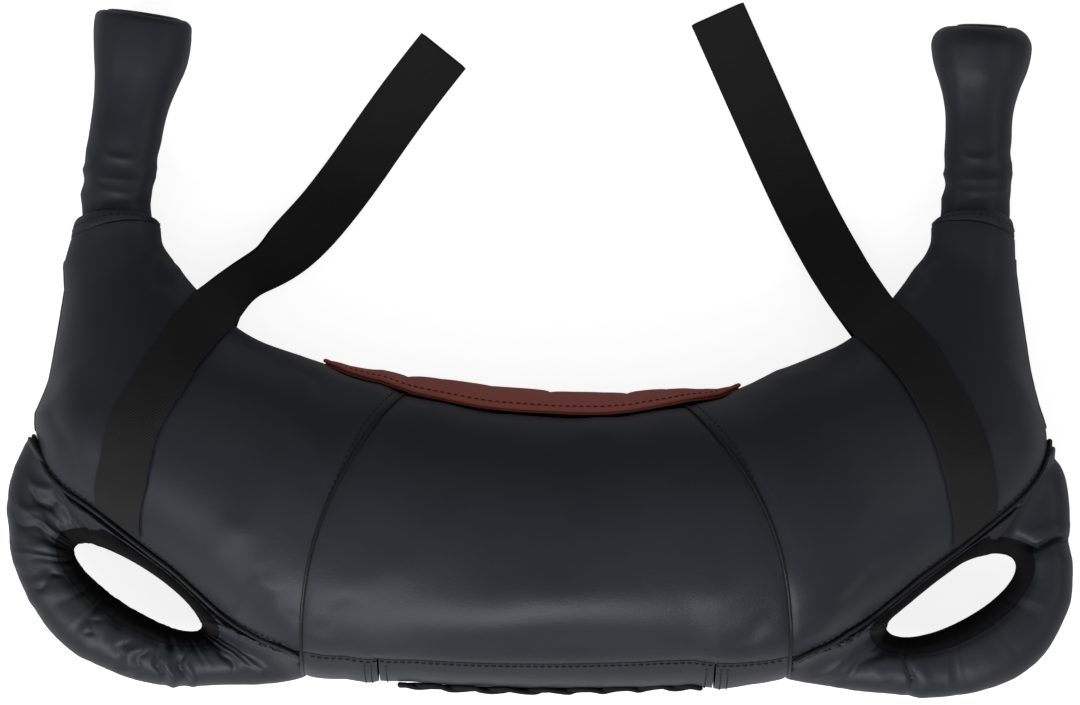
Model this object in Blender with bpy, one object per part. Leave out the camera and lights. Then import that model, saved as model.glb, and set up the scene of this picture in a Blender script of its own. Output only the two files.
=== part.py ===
"""Weighted crescent training bag, lying on its back with its front up.

Metres, +Z up, +X to the wearer's right hand as the photograph shows it, +Y towards the horn grips.
The origin is the middle of the flat patch on which the belly rests.

The body is one skin surface. A place on it has two parameters: t runs along the crescent, from -1 at the
left grip collar through 0 at the belly to 1 at the right one, and q runs round the section:
0 is the inner edge, 0 to 1 the front, 1 to 2 the short outer wall, 2 to 3 the back up to the inner edge,
and a little below 0 is the back next to the inner edge. Depth is measured inwards from the skin.
"""

import math

import bmesh
import bpy
import numpy as np

# Overall sizes
HALF_WIDTH = 0.325
BODY_RISE = 0.287
FRONT_RISE = 0.095
BACK_DROP = 0.072
SIDE_LIFT = 0.005
REST_CUT = 0.002

# Leather, seams and clearances
SKIN = 0.0020
SEAM_GAP = 0.0005
CLEARANCE = 0.0004
STITCH_RISE = 0.0008
WELT_RADIUS = 0.0013
PIPING_RADIUS = 0.0015
PAD_WELT_RADIUS = 0.0022

# Neck pad
PAD_CHANNELS = 6
PAD_RISE = 0.0025
PAD_CROWN = 0.0035

# Closure
LACE_RADIUS = 0.0024
LACE_REACH = 0.0072
LACE_LENGTH = 0.186
LACE_CROSSINGS = 8
LACE_STEPS = 4

# Horn grips
GRIP_RADIUS = 0.0212
GRIP_END_RADIUS = 0.0300
GRIP_LENGTH = 0.124
GRIP_HEIGHT = 0.0304
CUP_ANGLES = [math.radians(a) for a in (62, 42, 20)]
BALL_ANGLES = [math.radians(a) for a in (52, 72)]
CORE_ANGLES = [math.radians(a) for a in (70, 45, 22)]
GRIP_LEAN = {"left": math.radians(8.5), "right": math.radians(-2.2)}
GRIP_LENGTH_SHARES = {"left": 1.031, "right": 0.966}
END_CAP_THICKNESS = 0.0025
COLLAR_CLEARANCE = 0.0023
CUP_ROOM = 0.0009
HEM_RISE = 0.0007

# Webbing straps
WEBBING_WIDTH = 0.035
WEBBING_THICKNESS = 0.0016
WEBBING_GAP = 0.0005
STRAP_LENGTH = 0.2075
STRAP_DROP_LENGTH = 0.070
STRAP_HEADINGS = {
    "left": [math.radians(a) for a in (43, 37, 42, 51, 55, 56, 56, 54)],
    "right": [math.radians(a) for a in (62, 60, 61, 64, 66, 66, 66, 66)],
}
STRAP_ROOT_REACH = 0.0005
FOLD_ANGLES = [math.radians(a) for a in (60, 30, 0, -30, -60)]

# Hand loops
HOLE_LENGTH = 0.090
HOLE_WIDTH = {"left": 0.030, "right": 0.034}
HOLE_TILT = {"left": math.radians(34.8), "right": math.radians(28.0)}
LOOP_THICKNESS = 0.046
LOOP_HEIGHT = 0.040
LOOP_LEAST_WIDTH = 0.0078
LOOP_LEAST_HEIGHT = 0.026
LOOP_SKIN = 0.0012
LOOP_CORE_GAP = 0.0007
LOOP_PIPING_GAP = 0.0020
LOOP_EDGE_SHARE = 0.35
LINING_ANGLE = math.radians(60)
LINING_GAP_ANGLE = math.radians(12)
SEAM_SIDE_POWER = 2.4
FREE_SIDE_POWER = 2.2
SHARP_ANGLE = math.radians(40)

# Shape of the crescent, as shares. Places are shares of HALF_WIDTH across and of BODY_RISE along,
# measured from the centre line and from the lowest edge of the belly.
REST_SHARE = 0.334
T_SHARES = [0.0, 0.09, 0.18, 0.27, 0.36, 0.45, 0.54, 0.63, 0.72, 0.80, 0.87, 0.93, 1.0]
INNER_SHARES = [
    (0.0, 0.621), (0.105, 0.626), (0.189, 0.638), (0.251, 0.645), (0.326, 0.655), (0.405, 0.681),
    (0.480, 0.708), (0.544, 0.740), (0.597, 0.785), (0.6435, 0.838), (0.681, 0.894), (0.709, 0.940),
]
OUTER_SHARES = [
    (0.0, 0.0), (0.158, 0.004), (0.311, 0.019), (0.456, 0.055), (0.597, 0.153), (0.715, 0.268),
    (0.818, 0.3596), (0.889, 0.421), (0.934, 0.489), (0.951, 0.557), (0.934, 0.655), (0.911, 0.805),
]
COLLAR_SHARE = (0.806, 1.0)
BOW_SHARES = [0.0, 0.0225, 0.043, 0.064, 0.0675, 0.064, 0.056, 0.051, 0.045, 0.036, 0.024, 0.013, 0.005]
FRONT_SHARES = [1.0, 0.995, 0.98, 0.945, 0.895, 0.83, 0.76, 0.68, 0.59, 0.505, 0.43, 0.355]
BACK_SHARES = [1.0, 0.995, 0.98, 0.945, 0.895, 0.83, 0.765, 0.695, 0.615, 0.54, 0.475, 0.415]
LIFT_SHARES = [0.0, 0.0, 0.05, 0.5, 0.9, 1.0, 1.0, 1.0, 1.0, 1.0, 1.0, 1.0]
WALL_SHARES = [0.05, 0.05, 0.05, 0.08, 0.36, 0.46, 0.48, 0.46, 0.36, 0.012, 0.012, 0.012, 0.012]
FRONT_POWERS = [2.3] * 9 + [2.25, 2.2, 2.1, 2.0]
BACK_POWERS = [3.2] * 8 + [3.0, 2.7, 2.5, 2.2, 2.0]

# Where the seams run, as shares of t and q
SIDE_SEAM_SHARE = 0.27
FLAP_SHARE = 0.18
HEM_SHARE = 0.965
SACK_END_SHARE = 0.955
PAD_END_SHARE = 0.44
PAD_TIP_SHARE = 0.46
PAD_FRONT_SHARE = 0.135
PAD_BACK_SHARE = 0.30
PAD_POINT_POWER = 0.6
GUSSET_FRONT_SHARES = (0.79, 0.07)
GUSSET_BACK_SHARE = 0.80
CORNER_SHARES = (0.295, 0.785)
EDGE_WELT_SHARES = (0.835, 0.95)
LOOP_SEAM_SHARES = (0.735, 0.295)
WELT_END_SHARE = 0.35
STRAP_INNER_SHARE = 0.745
STRAP_OUTER_SHARE = 0.535
STRAP_ROOM_SHARES = (1.2, 0.12)
STRAP_DROP_POWER = 2.2

# Outline of a hand loop from its upper corner round the outside to its lower corner, and its hole
LOOP_SHARES = {
    "left": [
        (0.984, 0.493), (1.004, 0.425), (1.011, 0.334), (1.0, 0.270), (0.979, 0.206), (0.944, 0.1426),
        (0.889, 0.085), (0.822, 0.0426), (0.743, 0.019), (0.6585, 0.0085), (0.574, 0.015), (0.505, 0.028),
    ],
    "right": [
        (0.968, 0.493), (0.984, 0.415), (0.988, 0.313), (0.987, 0.249), (0.981, 0.1745), (0.955, 0.10),
        (0.908, 0.047), (0.852, 0.0085), (0.780, -0.0064), (0.702, -0.0106), (0.589, 0.010), (0.500, 0.028),
    ],
}
HOLE_SHARES = {"left": (0.762, 0.221), "right": (0.758, 0.206)}
LEG_END_SHARES = (0.045, 0.965)
WALL_MARGIN_SHARE = 0.04
HEM_SWELL_SHARES = (0.0, 0.3, 1.0, 0.6)
GRIP_PROFILE_SHARES = [
    (0.0, 0.0), (0.30, 0.0), (0.52, 0.10), (0.68, 0.42), (0.82, 0.86), (0.91, 1.0), (0.97, 0.86),
]
CAP_SEAT_SHARE = 0.90
CAP_RIM_SHARES = (0.60, 0.93)
GRIP_END_SHARE = 0.97

# How finely the shapes are cut
FRONT_STEPS = 7
BACK_STEPS = 7
PAD_STEPS = 30
PAD_ROWS = 6
LOOP_STATIONS = 13
LOOP_SEAM_STATIONS = 12
HOLE_EVENING = 80
COVER_STEPS = 7
LINING_STEPS = 3
GRIP_STEPS = 14
GRIP_RINGS = 9
HEM_STEPS = 8
PAD_WELT_STEPS = 22
PIPING_STATIONS = 14
EDGE_WELT_STATIONS = 5
STRAP_STEPS = 16
TURN_STEPS = 7
FINE_STEPS = 360
SECTION_EVENING = 4
MIDDLE_KNOTS = [0.0, 0.045, 0.09, 0.135, 0.18, 0.225, SIDE_SEAM_SHARE]
SIDE_KNOTS = [SIDE_SEAM_SHARE, 0.32, 0.37, 0.41, PAD_END_SHARE, PAD_TIP_SHARE, 0.51, 0.57, 0.63, 0.69]
SIDE_KNOTS += [0.745, 0.795, 0.84, 0.885, 0.925, HEM_SHARE]
SIDES = {"left": -1, "right": 1}

COLLAR_RADIUS = GRIP_RADIUS + COLLAR_CLEARANCE + SKIN
SACK_DEPTH = SKIN + CLEARANCE


def material(name, colour, roughness, metallic=0.0):
    """A Principled BSDF of one plain finish, made once."""
    if name in bpy.data.materials:
        return bpy.data.materials[name]
    made = bpy.data.materials.new(name)
    made.use_nodes = True
    shader = made.node_tree.nodes["Principled BSDF"]
    shader.inputs["Base Color"].default_value = (*colour, 1.0)
    shader.inputs["Roughness"].default_value = roughness
    shader.inputs["Metallic"].default_value = metallic
    made.diffuse_color = (*colour, 1.0)
    return made


FINISHES = {
    "leather": ((0.016, 0.017, 0.020), 0.45),
    "neck_leather": ((0.155, 0.030, 0.025), 0.50),
    "webbing": ((0.008, 0.008, 0.008), 0.80),
    "lining": ((0.006, 0.006, 0.006), 0.90),
    "lace": ((0.010, 0.010, 0.010), 0.70),
    "stuffing": ((0.55, 0.53, 0.48), 0.95),
    "sand_sack": ((0.45, 0.38, 0.26), 0.95),
}


def finish(name):
    colour, roughness = FINISHES[name]
    return material(name, colour, roughness)


def smooth(knots, values, at):
    """Cubic curve through values at knots, read at any places, with the slopes of their neighbours."""
    knots = np.asarray(knots, float)
    values = np.asarray(values, float)
    slopes = np.gradient(values, knots, axis=0)
    place = np.clip(at, knots[0], knots[-1])
    k = np.clip(np.searchsorted(knots, place, side="right") - 1, 0, len(knots) - 2)
    step = knots[k + 1] - knots[k]
    x = (place - knots[k]) / step
    if values.ndim > 1:
        x, step = x[..., None], step[..., None]
    return (
        values[k] * (1 + 2 * x) * (1 - x) ** 2
        + slopes[k] * step * x * (1 - x) ** 2
        + values[k + 1] * x * x * (3 - 2 * x)
        + slopes[k + 1] * step * x * x * (x - 1)
    )


def place(share):
    """Plan place in metres of a pair of shares, on the right side."""
    share = np.asarray(share, float)
    return np.stack([share[..., 0] * HALF_WIDTH, (share[..., 1] - REST_SHARE) * BODY_RISE], axis=-1)


def both_sides(values, odd=False):
    """Values at the knots of the right half, carried over to the left half."""
    values = np.asarray(values, float)
    left = values[:0:-1] * (-1.0 if odd else 1.0)
    return np.concatenate([left, values])


def mirrored_points(points):
    return np.concatenate([points[:0:-1] * np.array([-1.0, 1.0]), points])


COLLAR_PLACE = place(COLLAR_SHARE)
T_KNOTS = both_sides(T_SHARES, odd=True)
INNER_POINTS = mirrored_points(np.vstack([place(INNER_SHARES), COLLAR_PLACE - [COLLAR_RADIUS, 0.0]]))
OUTER_POINTS = mirrored_points(np.vstack([place(OUTER_SHARES), COLLAR_PLACE + [COLLAR_RADIUS, 0.0]]))
BOWS = both_sides(np.array(BOW_SHARES) * HALF_WIDTH, odd=True)
FRONTS = both_sides([*(np.array(FRONT_SHARES) * FRONT_RISE), COLLAR_RADIUS])
BACKS = both_sides([*(np.array(BACK_SHARES) * BACK_DROP), COLLAR_RADIUS])
LIFTS = both_sides([*(np.array(LIFT_SHARES) * SIDE_LIFT), GRIP_HEIGHT - COLLAR_RADIUS + REST_CUT])
WALLS = both_sides(WALL_SHARES)
FRONT_BENDS = both_sides(FRONT_POWERS)
BACK_BENDS = both_sides(BACK_POWERS)


def signed_power(value, power):
    return np.sign(value) * np.abs(value) ** power


def skin_points(t, q, depth=0.0):
    """Points of the body's skin; a section is a superellipse, its outer end cut by a short upright wall."""
    t, q, depth = np.broadcast_arrays(*(np.asarray(x, float) for x in (t, q, depth)))
    inner = smooth(T_KNOTS, INNER_POINTS, t)
    outer = smooth(T_KNOTS, OUTER_POINTS, t)
    chord = outer - inner
    along = chord / np.linalg.norm(chord, axis=-1, keepdims=True)
    inner = inner + along * depth[..., None]
    outer = outer - along * depth[..., None]
    outwards = np.stack([-along[..., 1], along[..., 0]], axis=-1)
    front = smooth(T_KNOTS, FRONTS, t) - depth
    back = smooth(T_KNOTS, BACKS, t)
    middle = back + smooth(T_KNOTS, LIFTS, t) - REST_CUT
    back = back - depth
    wall = np.maximum(smooth(T_KNOTS, WALLS, t), min(WALL_SHARES))

    below = (q < 0) | (q >= 2)
    u = np.where(q < 0, -q, np.where(q <= 1, q, np.where(q < 2, 1.0, 3.0 - q)))
    bend = 2.0 / np.where(below, smooth(T_KNOTS, BACK_BENDS, t), smooth(T_KNOTS, FRONT_BENDS, t))
    last = math.pi - np.arcsin(wall ** (1.0 / bend))
    angle = last * np.clip(u, 0.0, 1.0)
    across = (1.0 - signed_power(np.cos(angle), bend)) / (1.0 - signed_power(np.cos(last), bend))
    height = np.where(below, -back, front) * np.sin(angle) ** bend
    on_wall = (q > 1) & (q < 2)
    share = np.where(on_wall, q - 1.0, 0.0)
    height = np.where(on_wall, wall * ((1.0 - share) * front - share * back), height)
    bow = smooth(T_KNOTS, BOWS, t) * 4.0 * across * (1.0 - across)
    plan = inner + (outer - inner) * across[..., None] + outwards * bow[..., None]
    floor = np.where(depth > 0, depth, np.where(depth < 0, -1.0, 0.0))
    return np.concatenate([plan, np.maximum(middle + height, floor)[..., None]], axis=-1)


def add_mesh(name, points, faces, finish_name, pivot=None, parent=None):
    """One closed mesh object; its origin is on pivot, the place its parent empty stands at."""
    origin = np.zeros(3) if pivot is None else np.asarray(pivot, float)
    mesh = bpy.data.meshes.new(name)
    mesh.from_pydata([tuple(p) for p in np.asarray(points, float) - origin], [], faces)
    shape = bmesh.new()
    shape.from_mesh(mesh)
    bmesh.ops.recalc_face_normals(shape, faces=shape.faces)
    shape.to_mesh(mesh)
    shape.free()
    mesh.shade_smooth()
    mesh.set_sharp_from_angle(angle=SHARP_ANGLE)
    mesh.materials.append(finish(finish_name))
    obj = bpy.data.objects.new(name, mesh)
    bpy.context.scene.collection.objects.link(obj)
    if parent is not None:
        obj.parent = parent
    else:
        obj.location = origin
    return obj


def grid_faces(rows, columns, start, wrap_rows=False, wrap_columns=False):
    """Triangles of a grid, all cut the same way, so that one sheet over another keeps its gap."""
    faces = []
    for r in range(rows if wrap_rows else rows - 1):
        for c in range(columns if wrap_columns else columns - 1):
            near, far = r * columns, ((r + 1) % rows) * columns
            after = (c + 1) % columns
            corner, opposite = start + near + c, start + far + after
            faces += [(corner, start + near + after, opposite), (corner, opposite, start + far + c)]
    return faces


def slab(name, outside, inside, finish_name, wrap_rows=False, wrap_columns=False, **placing):
    """A sheet with thickness: two grids of points, joined along their open edges."""
    rows, columns = outside.shape[:2]
    count = rows * columns
    faces = grid_faces(rows, columns, 0, wrap_rows, wrap_columns)
    faces += [face[::-1] for face in grid_faces(rows, columns, count, wrap_rows, wrap_columns)]
    edges = []
    if not wrap_rows:
        steps = range(columns if wrap_columns else columns - 1)
        edges += [(c, (c + 1) % columns) for c in steps]
        last = (rows - 1) * columns
        edges += [(last + (c + 1) % columns, last + c) for c in steps]
    if not wrap_columns:
        steps = range(rows if wrap_rows else rows - 1)
        edges += [(((r + 1) % rows) * columns, r * columns) for r in steps]
        end = columns - 1
        edges += [(r * columns + end, ((r + 1) % rows) * columns + end) for r in steps]
    faces += [(b, a, a + count, b + count) for a, b in edges]
    points = np.concatenate([outside.reshape(-1, 3), inside.reshape(-1, 3)])
    return add_mesh(name, points, faces, finish_name, **placing)


def loft(name, rings, finish_name, **placing):
    """A solid through closed rings, with a fan on each end."""
    count, size = rings.shape[:2]
    faces = grid_faces(count, size, 0, wrap_columns=True)
    ends = [rings[0].mean(axis=0), rings[-1].mean(axis=0)]
    points = np.concatenate([rings.reshape(-1, 3), np.array(ends)])
    first, last = count * size, count * size + 1
    base = (count - 1) * size
    faces += [(first, (k + 1) % size, k) for k in range(size)]
    faces += [(last, base + k, base + (k + 1) % size) for k in range(size)]
    return add_mesh(name, points, faces, finish_name, **placing)


def tube(name, points, radius, finish_name, sides=1):
    """A round cord through points, as a bevelled curve with filled ends."""
    curve = bpy.data.curves.new(name, "CURVE")
    curve.dimensions = "3D"
    spline = curve.splines.new("POLY")
    spline.points.add(len(points) - 1)
    for point, at in zip(spline.points, points):
        point.co = (*at, 1.0)
    curve.bevel_depth = radius
    curve.bevel_resolution = sides
    curve.use_fill_caps = True
    curve.materials.append(finish(finish_name))
    obj = bpy.data.objects.new(name, curve)
    bpy.context.scene.collection.objects.link(obj)
    return obj


def turned(name, profile, finish_name, parent):
    """A turned piece: the profile runs down the outer side and is swept round the parent's Z axis."""
    mesh = bpy.data.meshes.new(name)
    edges = [(k, k + 1) for k in range(len(profile) - 1)]
    if profile[0][0] > 0:
        edges.append((len(profile) - 1, 0))
    mesh.from_pydata([(radius, 0.0, height) for radius, height in profile], edges, [])
    mesh.materials.append(finish(finish_name))
    obj = bpy.data.objects.new(name, mesh)
    bpy.context.scene.collection.objects.link(obj)
    screw = obj.modifiers.new("turn", "SCREW")
    screw.steps = GRIP_STEPS
    screw.render_steps = GRIP_STEPS
    screw.use_merge_vertices = True
    screw.merge_threshold = SEAM_GAP / 10
    screw.use_smooth_shade = True
    obj.parent = parent
    return obj


def pivot_empty(name, at, turn=None):
    empty = bpy.data.objects.new(name, None)
    empty.location = at
    if turn is not None:
        empty.rotation_euler = turn
    bpy.context.scene.collection.objects.link(empty)
    return empty


def seam_inset(t=None):
    """Half a seam's gap as a share of t, or of q at the section t."""
    if t is None:
        return 0.6 * SEAM_GAP / HALF_WIDTH
    girth = np.linalg.norm(smooth(T_KNOTS, OUTER_POINTS, t) - smooth(T_KNOTS, INNER_POINTS, t), axis=-1)
    return 0.5 * SEAM_GAP / (girth + smooth(T_KNOTS, FRONTS, t))


def inner_inset(t, heights, bends):
    """Share of q at which the section has risen half a seam's gap from the inner edge."""
    rise = 0.5 * SEAM_GAP / smooth(T_KNOTS, heights, t)
    return np.arcsin(rise ** (smooth(T_KNOTS, bends, t) / 2)) / math.pi


def pad_reach(t):
    """How far the neck pad reaches over the front, as a share of q; zero past its pointed tips."""
    knots = np.array([*MIDDLE_KNOTS, *SIDE_KNOTS[1:]])
    reach = PAD_FRONT_SHARE * np.maximum(1.0 - (knots / PAD_TIP_SHARE) ** 2, 0.0) ** PAD_POINT_POWER
    return np.interp(np.abs(t), knots, reach)


def pad_back_reach(t):
    return pad_reach(t) * PAD_BACK_SHARE / PAD_FRONT_SHARE


def gusset_front(t):
    base, rise = GUSSET_FRONT_SHARES
    return base + rise * np.minimum(np.abs(t) / SIDE_SEAM_SHARE, 1.0) ** 2


def front_lines(t):
    """Values of q of the mesh lines on the front: evenly from pad to gusset seam, then two to the wall."""
    seam = gusset_front(t)[:, None]
    share = np.linspace(0.0, 1.0, FRONT_STEPS + 1)
    main = pad_reach(t)[:, None] * (1.0 - share) + seam * share
    return np.concatenate([main, 0.5 * (seam + 1.0), np.ones_like(seam)], axis=1)


def back_lines(t):
    """Values of q on the back, from the wall over the gusset seam to the pad's lower edge."""
    seam = np.full((len(t), 1), 3.0 - GUSSET_BACK_SHARE)
    share = np.linspace(0.0, 1.0, BACK_STEPS + 1)
    main = seam * (1.0 - share) + (3.0 - pad_back_reach(t)[:, None]) * share
    return np.concatenate([np.full_like(seam, 2.0), 0.5 * (seam + 2.0), main], axis=1)


def panel(name, t, q, low, high):
    """A sewn panel over the skin through the lines q, drawn in by low and high at its first and last line."""
    q = q.copy()
    q[:, 0] += low
    q[:, -1] -= high
    return slab(name, skin_points(t[:, None], q), skin_points(t[:, None], q, SKIN), "leather")


def pad_side_inset(t, heights, bends):
    """Inset of a panel's inner edge: beside the pad's welt, or a plain seam past the pad's tips."""
    return np.where(np.abs(t) < PAD_TIP_SHARE, 2 * seam_inset(t), inner_inset(t, heights, bends))


def middle_knots(ends):
    knots = np.array(MIDDLE_KNOTS)
    knots[-1] -= seam_inset()
    knots = knots[knots <= ends]
    return np.concatenate([-knots[:0:-1], knots])


def side_knots(sign):
    knots = np.array(SIDE_KNOTS)
    knots[0] += seam_inset()
    knots[-1] -= seam_inset()
    return sign * knots


def build_shell():
    inset = seam_inset()
    middle = middle_knots(SIDE_SEAM_SHARE)
    edge = seam_inset(middle)
    panel("front_center_panel", middle, front_lines(middle)[:, : FRONT_STEPS + 1], 2 * edge, edge)
    panel("back_center_panel", middle, back_lines(middle)[:, 2:], edge, 2 * edge)
    flap = middle_knots(FLAP_SHARE)
    flap[[0, -1]] *= 1.0 - inset / FLAP_SHARE
    edge = seam_inset(flap)
    panel("closure_front_flap", flap, front_lines(flap)[:, FRONT_STEPS:], edge, 0.0)
    panel("closure_back_flap", flap, back_lines(flap)[:, :3], 0.0, edge)
    for side, sign in SIDES.items():
        t = side_knots(sign)
        edge = seam_inset(t)
        panel(f"front_{side}_panel", t, front_lines(t), pad_side_inset(t, FRONTS, FRONT_BENDS), edge)
        panel(f"back_{side}_panel", t, back_lines(t), edge, pad_side_inset(t, BACKS, BACK_BENDS))
        t = sign * np.array([FLAP_SHARE + inset, MIDDLE_KNOTS[-2], SIDE_SEAM_SHARE - inset])
        edge = seam_inset(t)
        strip = np.concatenate([front_lines(t)[:, FRONT_STEPS:], back_lines(t)[:, :3]], axis=1)
        panel(f"bottom_{side}_strip", t, strip, edge, edge)
        t = t_at_wall(sign)
        wall = 1.0 + np.array([[WALL_MARGIN_SHARE, 0.5, 1.0 - WALL_MARGIN_SHARE]])
        panel(f"{side}_end_wall", t, np.repeat(wall, len(t), axis=0), 0.0, 0.0)
        t = sign * np.linspace(HEM_SHARE + inset, 1.0, len(HEM_SWELL_SHARES))
        lip = -HEM_RISE * np.array(HEM_SWELL_SHARES)[:, None]
        around = hem_loop()
        slab(
            f"{side}_collar_hem",
            skin_points(t[:, None], around, lip),
            skin_points(t[:, None], around, SKIN),
            "leather",
            wrap_columns=True,
        )


def t_at_wall(sign):
    """Stations of the end wall behind a hand loop: those of the side panels, up to the corner."""
    knots = np.array(SIDE_KNOTS)
    knots[0] += seam_inset()
    inside = knots[knots < CORNER_SHARES[1]]
    return sign * np.append(inside, CORNER_SHARES[1])


def hem_loop():
    """Values of q round a whole section, from the inner edge over the front and back along the back."""
    front = np.linspace(0.0, 1.0, HEM_STEPS)
    back = np.linspace(2.0, 3.0, HEM_STEPS)[:-1]
    return np.concatenate([front, back])


def build_neck_pad():
    t = np.linspace(-PAD_END_SHARE, PAD_END_SHARE, PAD_STEPS + 1)
    share = np.linspace(0.0, 1.0, PAD_ROWS + 1)
    edge = 3 * seam_inset(t)
    low = -pad_back_reach(t) + edge
    high = pad_reach(t) - edge
    q = low[:, None] * (1.0 - share) + high[:, None] * share
    channel = np.abs(np.sin(0.5 * math.pi * PAD_CHANNELS * (t / PAD_END_SHARE)))[:, None]
    swell = np.sin(math.pi * share) * (pad_reach(t) / PAD_FRONT_SHARE)[:, None]
    outside = skin_points(t[:, None], q, -(PAD_RISE + PAD_CROWN * np.sqrt(channel)) * swell)
    slab("neck_pad", outside, skin_points(t[:, None], q, SKIN), "neck_leather")
    rise = PAD_WELT_RADIUS + CLEARANCE
    t = np.linspace(-PAD_END_SHARE, PAD_END_SHARE, PAD_WELT_STEPS)
    tube("neck_pad_front_welt", raised(t, pad_reach(t), rise), PAD_WELT_RADIUS, "neck_leather")
    tube("neck_pad_back_welt", raised(t, -pad_back_reach(t), rise), PAD_WELT_RADIUS, "neck_leather")


def raised(t, q, rise):
    """Points at a height above the skin, along its own normal."""
    step = SEAM_GAP / HALF_WIDTH
    across = skin_points(t, q + step) - skin_points(t, q - step)
    along = skin_points(t + step, q) - skin_points(t - step, q)
    normal = np.cross(across, along)
    normal /= np.linalg.norm(normal, axis=-1, keepdims=True)
    return skin_points(t, q) + normal * rise


def beside_edge(t, q, reach):
    """Points beside the body's outer edge, out by reach square to its outline on plan."""
    step = SEAM_GAP / HALF_WIDTH
    along = (skin_points(t + step, 1.5) - skin_points(t - step, 1.5))[:, :2]
    normal = np.stack([along[:, 1], -along[:, 0]], axis=-1)
    normal /= np.linalg.norm(normal, axis=-1, keepdims=True)
    return skin_points(t, q) + np.pad(normal * reach, ((0, 0), (0, 1)))


def build_trim():
    """Welts over the side seams and outer edges, and pipings in the grooves beside the hand loops."""
    rise = WELT_RADIUS + CLEARANCE
    groove = PIPING_RADIUS + CLEARANCE
    for side, sign in SIDES.items():
        seam = np.array([sign * SIDE_SEAM_SHARE])
        q = front_lines(seam)[0]
        q[0] += WELT_END_SHARE * (q[1] - q[0])
        q[-1] -= WELT_END_SHARE * (q[-1] - q[-2])
        tube(f"{side}_front_seam_welt", raised(np.full(len(q), seam[0]), q, rise), WELT_RADIUS, "leather")
        t = sign * np.linspace(*CORNER_SHARES, PIPING_STATIONS)
        tube(f"{side}_corner_front_piping", beside_edge(t, 1.0, groove), PIPING_RADIUS, "leather")
        tube(f"{side}_corner_back_piping", beside_edge(t, 2.0, groove), PIPING_RADIUS, "leather")
        t = sign * np.linspace(*EDGE_WELT_SHARES, EDGE_WELT_STATIONS)
        tube(f"{side}_edge_welt", beside_edge(t, 1.5, rise), WELT_RADIUS, "leather")


def build_lace():
    """One lace laid over the closing slit and back: two waves that pass over and under each other."""
    half = LACE_LENGTH / 2
    t_end = np.interp(half, OUTER_POINTS[:, 0], T_KNOTS)
    phase = np.linspace(0.0, math.pi * LACE_CROSSINGS, LACE_STEPS * LACE_CROSSINGS + 1)
    t = -t_end + 2 * t_end * phase / phase[-1]
    over = 2 * LACE_RADIUS + CLEARANCE
    base = LACE_RADIUS + CLEARANCE
    going = lace_points(t, np.cos(phase), base + over * np.maximum(np.sin(phase), 0.0) ** 2)
    coming = lace_points(t, -np.cos(phase), base + over * np.maximum(-np.sin(phase), 0.0) ** 2)
    turn = np.linspace(0.0, math.pi, TURN_STEPS)[1:-1]
    bend_t = t_end + np.sin(turn) * LACE_REACH / HALF_WIDTH
    bend = lace_points(bend_t, np.cos(turn), np.full(len(turn), base))
    tube("closure_lace", np.concatenate([going, bend, coming[::-1]]), LACE_RADIUS, "lace")


def lace_points(t, sway, rise):
    """Lace points at t, swayed across the slit by a share of LACE_REACH, rise above the skin."""
    slit = skin_points(t, 1.5)
    shift = sway * LACE_REACH
    top = skin_points(t, 1.0)[:, 2] - slit[:, 2]
    girth = seam_inset(t) / (0.5 * SEAM_GAP)
    beyond = (np.abs(shift) - top) * girth
    q = np.where(shift > top, 1.0 - beyond, np.where(shift < -top, 2.0 + beyond, 1.5))
    points = skin_points(t, q, -rise)
    level = np.abs(shift) <= top
    points[:, 2] = np.where(level, slit[:, 2] + shift, points[:, 2])
    return points


def sack_rings(t):
    """Rings of a sand sack, on the same lines as the panels over it."""
    q = np.concatenate([np.zeros((len(t), 1)), front_lines(t)[:, 1:], back_lines(t)[:, :-1]], axis=1)
    return skin_points(t[:, None], q, np.where(q > 0, SACK_DEPTH, SACK_DEPTH + CLEARANCE))


def build_filling():
    loft("center_sand_sack", sack_rings(middle_knots(SIDE_SEAM_SHARE)), "sand_sack")
    for side, sign in SIDES.items():
        knots = side_knots(sign)
        knots[-1] = sign * SACK_END_SHARE
        rings = sack_rings(knots)
        centre = grip_centre(sign)
        reach = GRIP_RADIUS + CLEARANCE + CUP_ROOM
        facing = (rings[-1] - centre) * np.array([1.0, 0.0, 1.0])
        facing /= np.linalg.norm(facing, axis=-1, keepdims=True)
        inwards = np.array([0.0, -reach, 0.0])
        cup = [math.cos(angle) * inwards + math.sin(angle) * reach * facing for angle in CUP_ANGLES]
        loft(f"{side}_sand_sack", np.concatenate([rings, centre + np.array(cup)]), "sand_sack")


def grip_centre(sign):
    return np.array([sign * COLLAR_PLACE[0], COLLAR_PLACE[1], GRIP_HEIGHT])


def grip_radius(share):
    table = np.array(GRIP_PROFILE_SHARES)
    return GRIP_RADIUS + (GRIP_END_RADIUS - GRIP_RADIUS) * smooth(table[:, 0], table[:, 1], share)


def ball_points(radius, angles):
    """Profile points on the ball-shaped base of a grip, at angles from its lowest point."""
    return [(radius * math.sin(angle), -radius * math.cos(angle)) for angle in angles]


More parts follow.
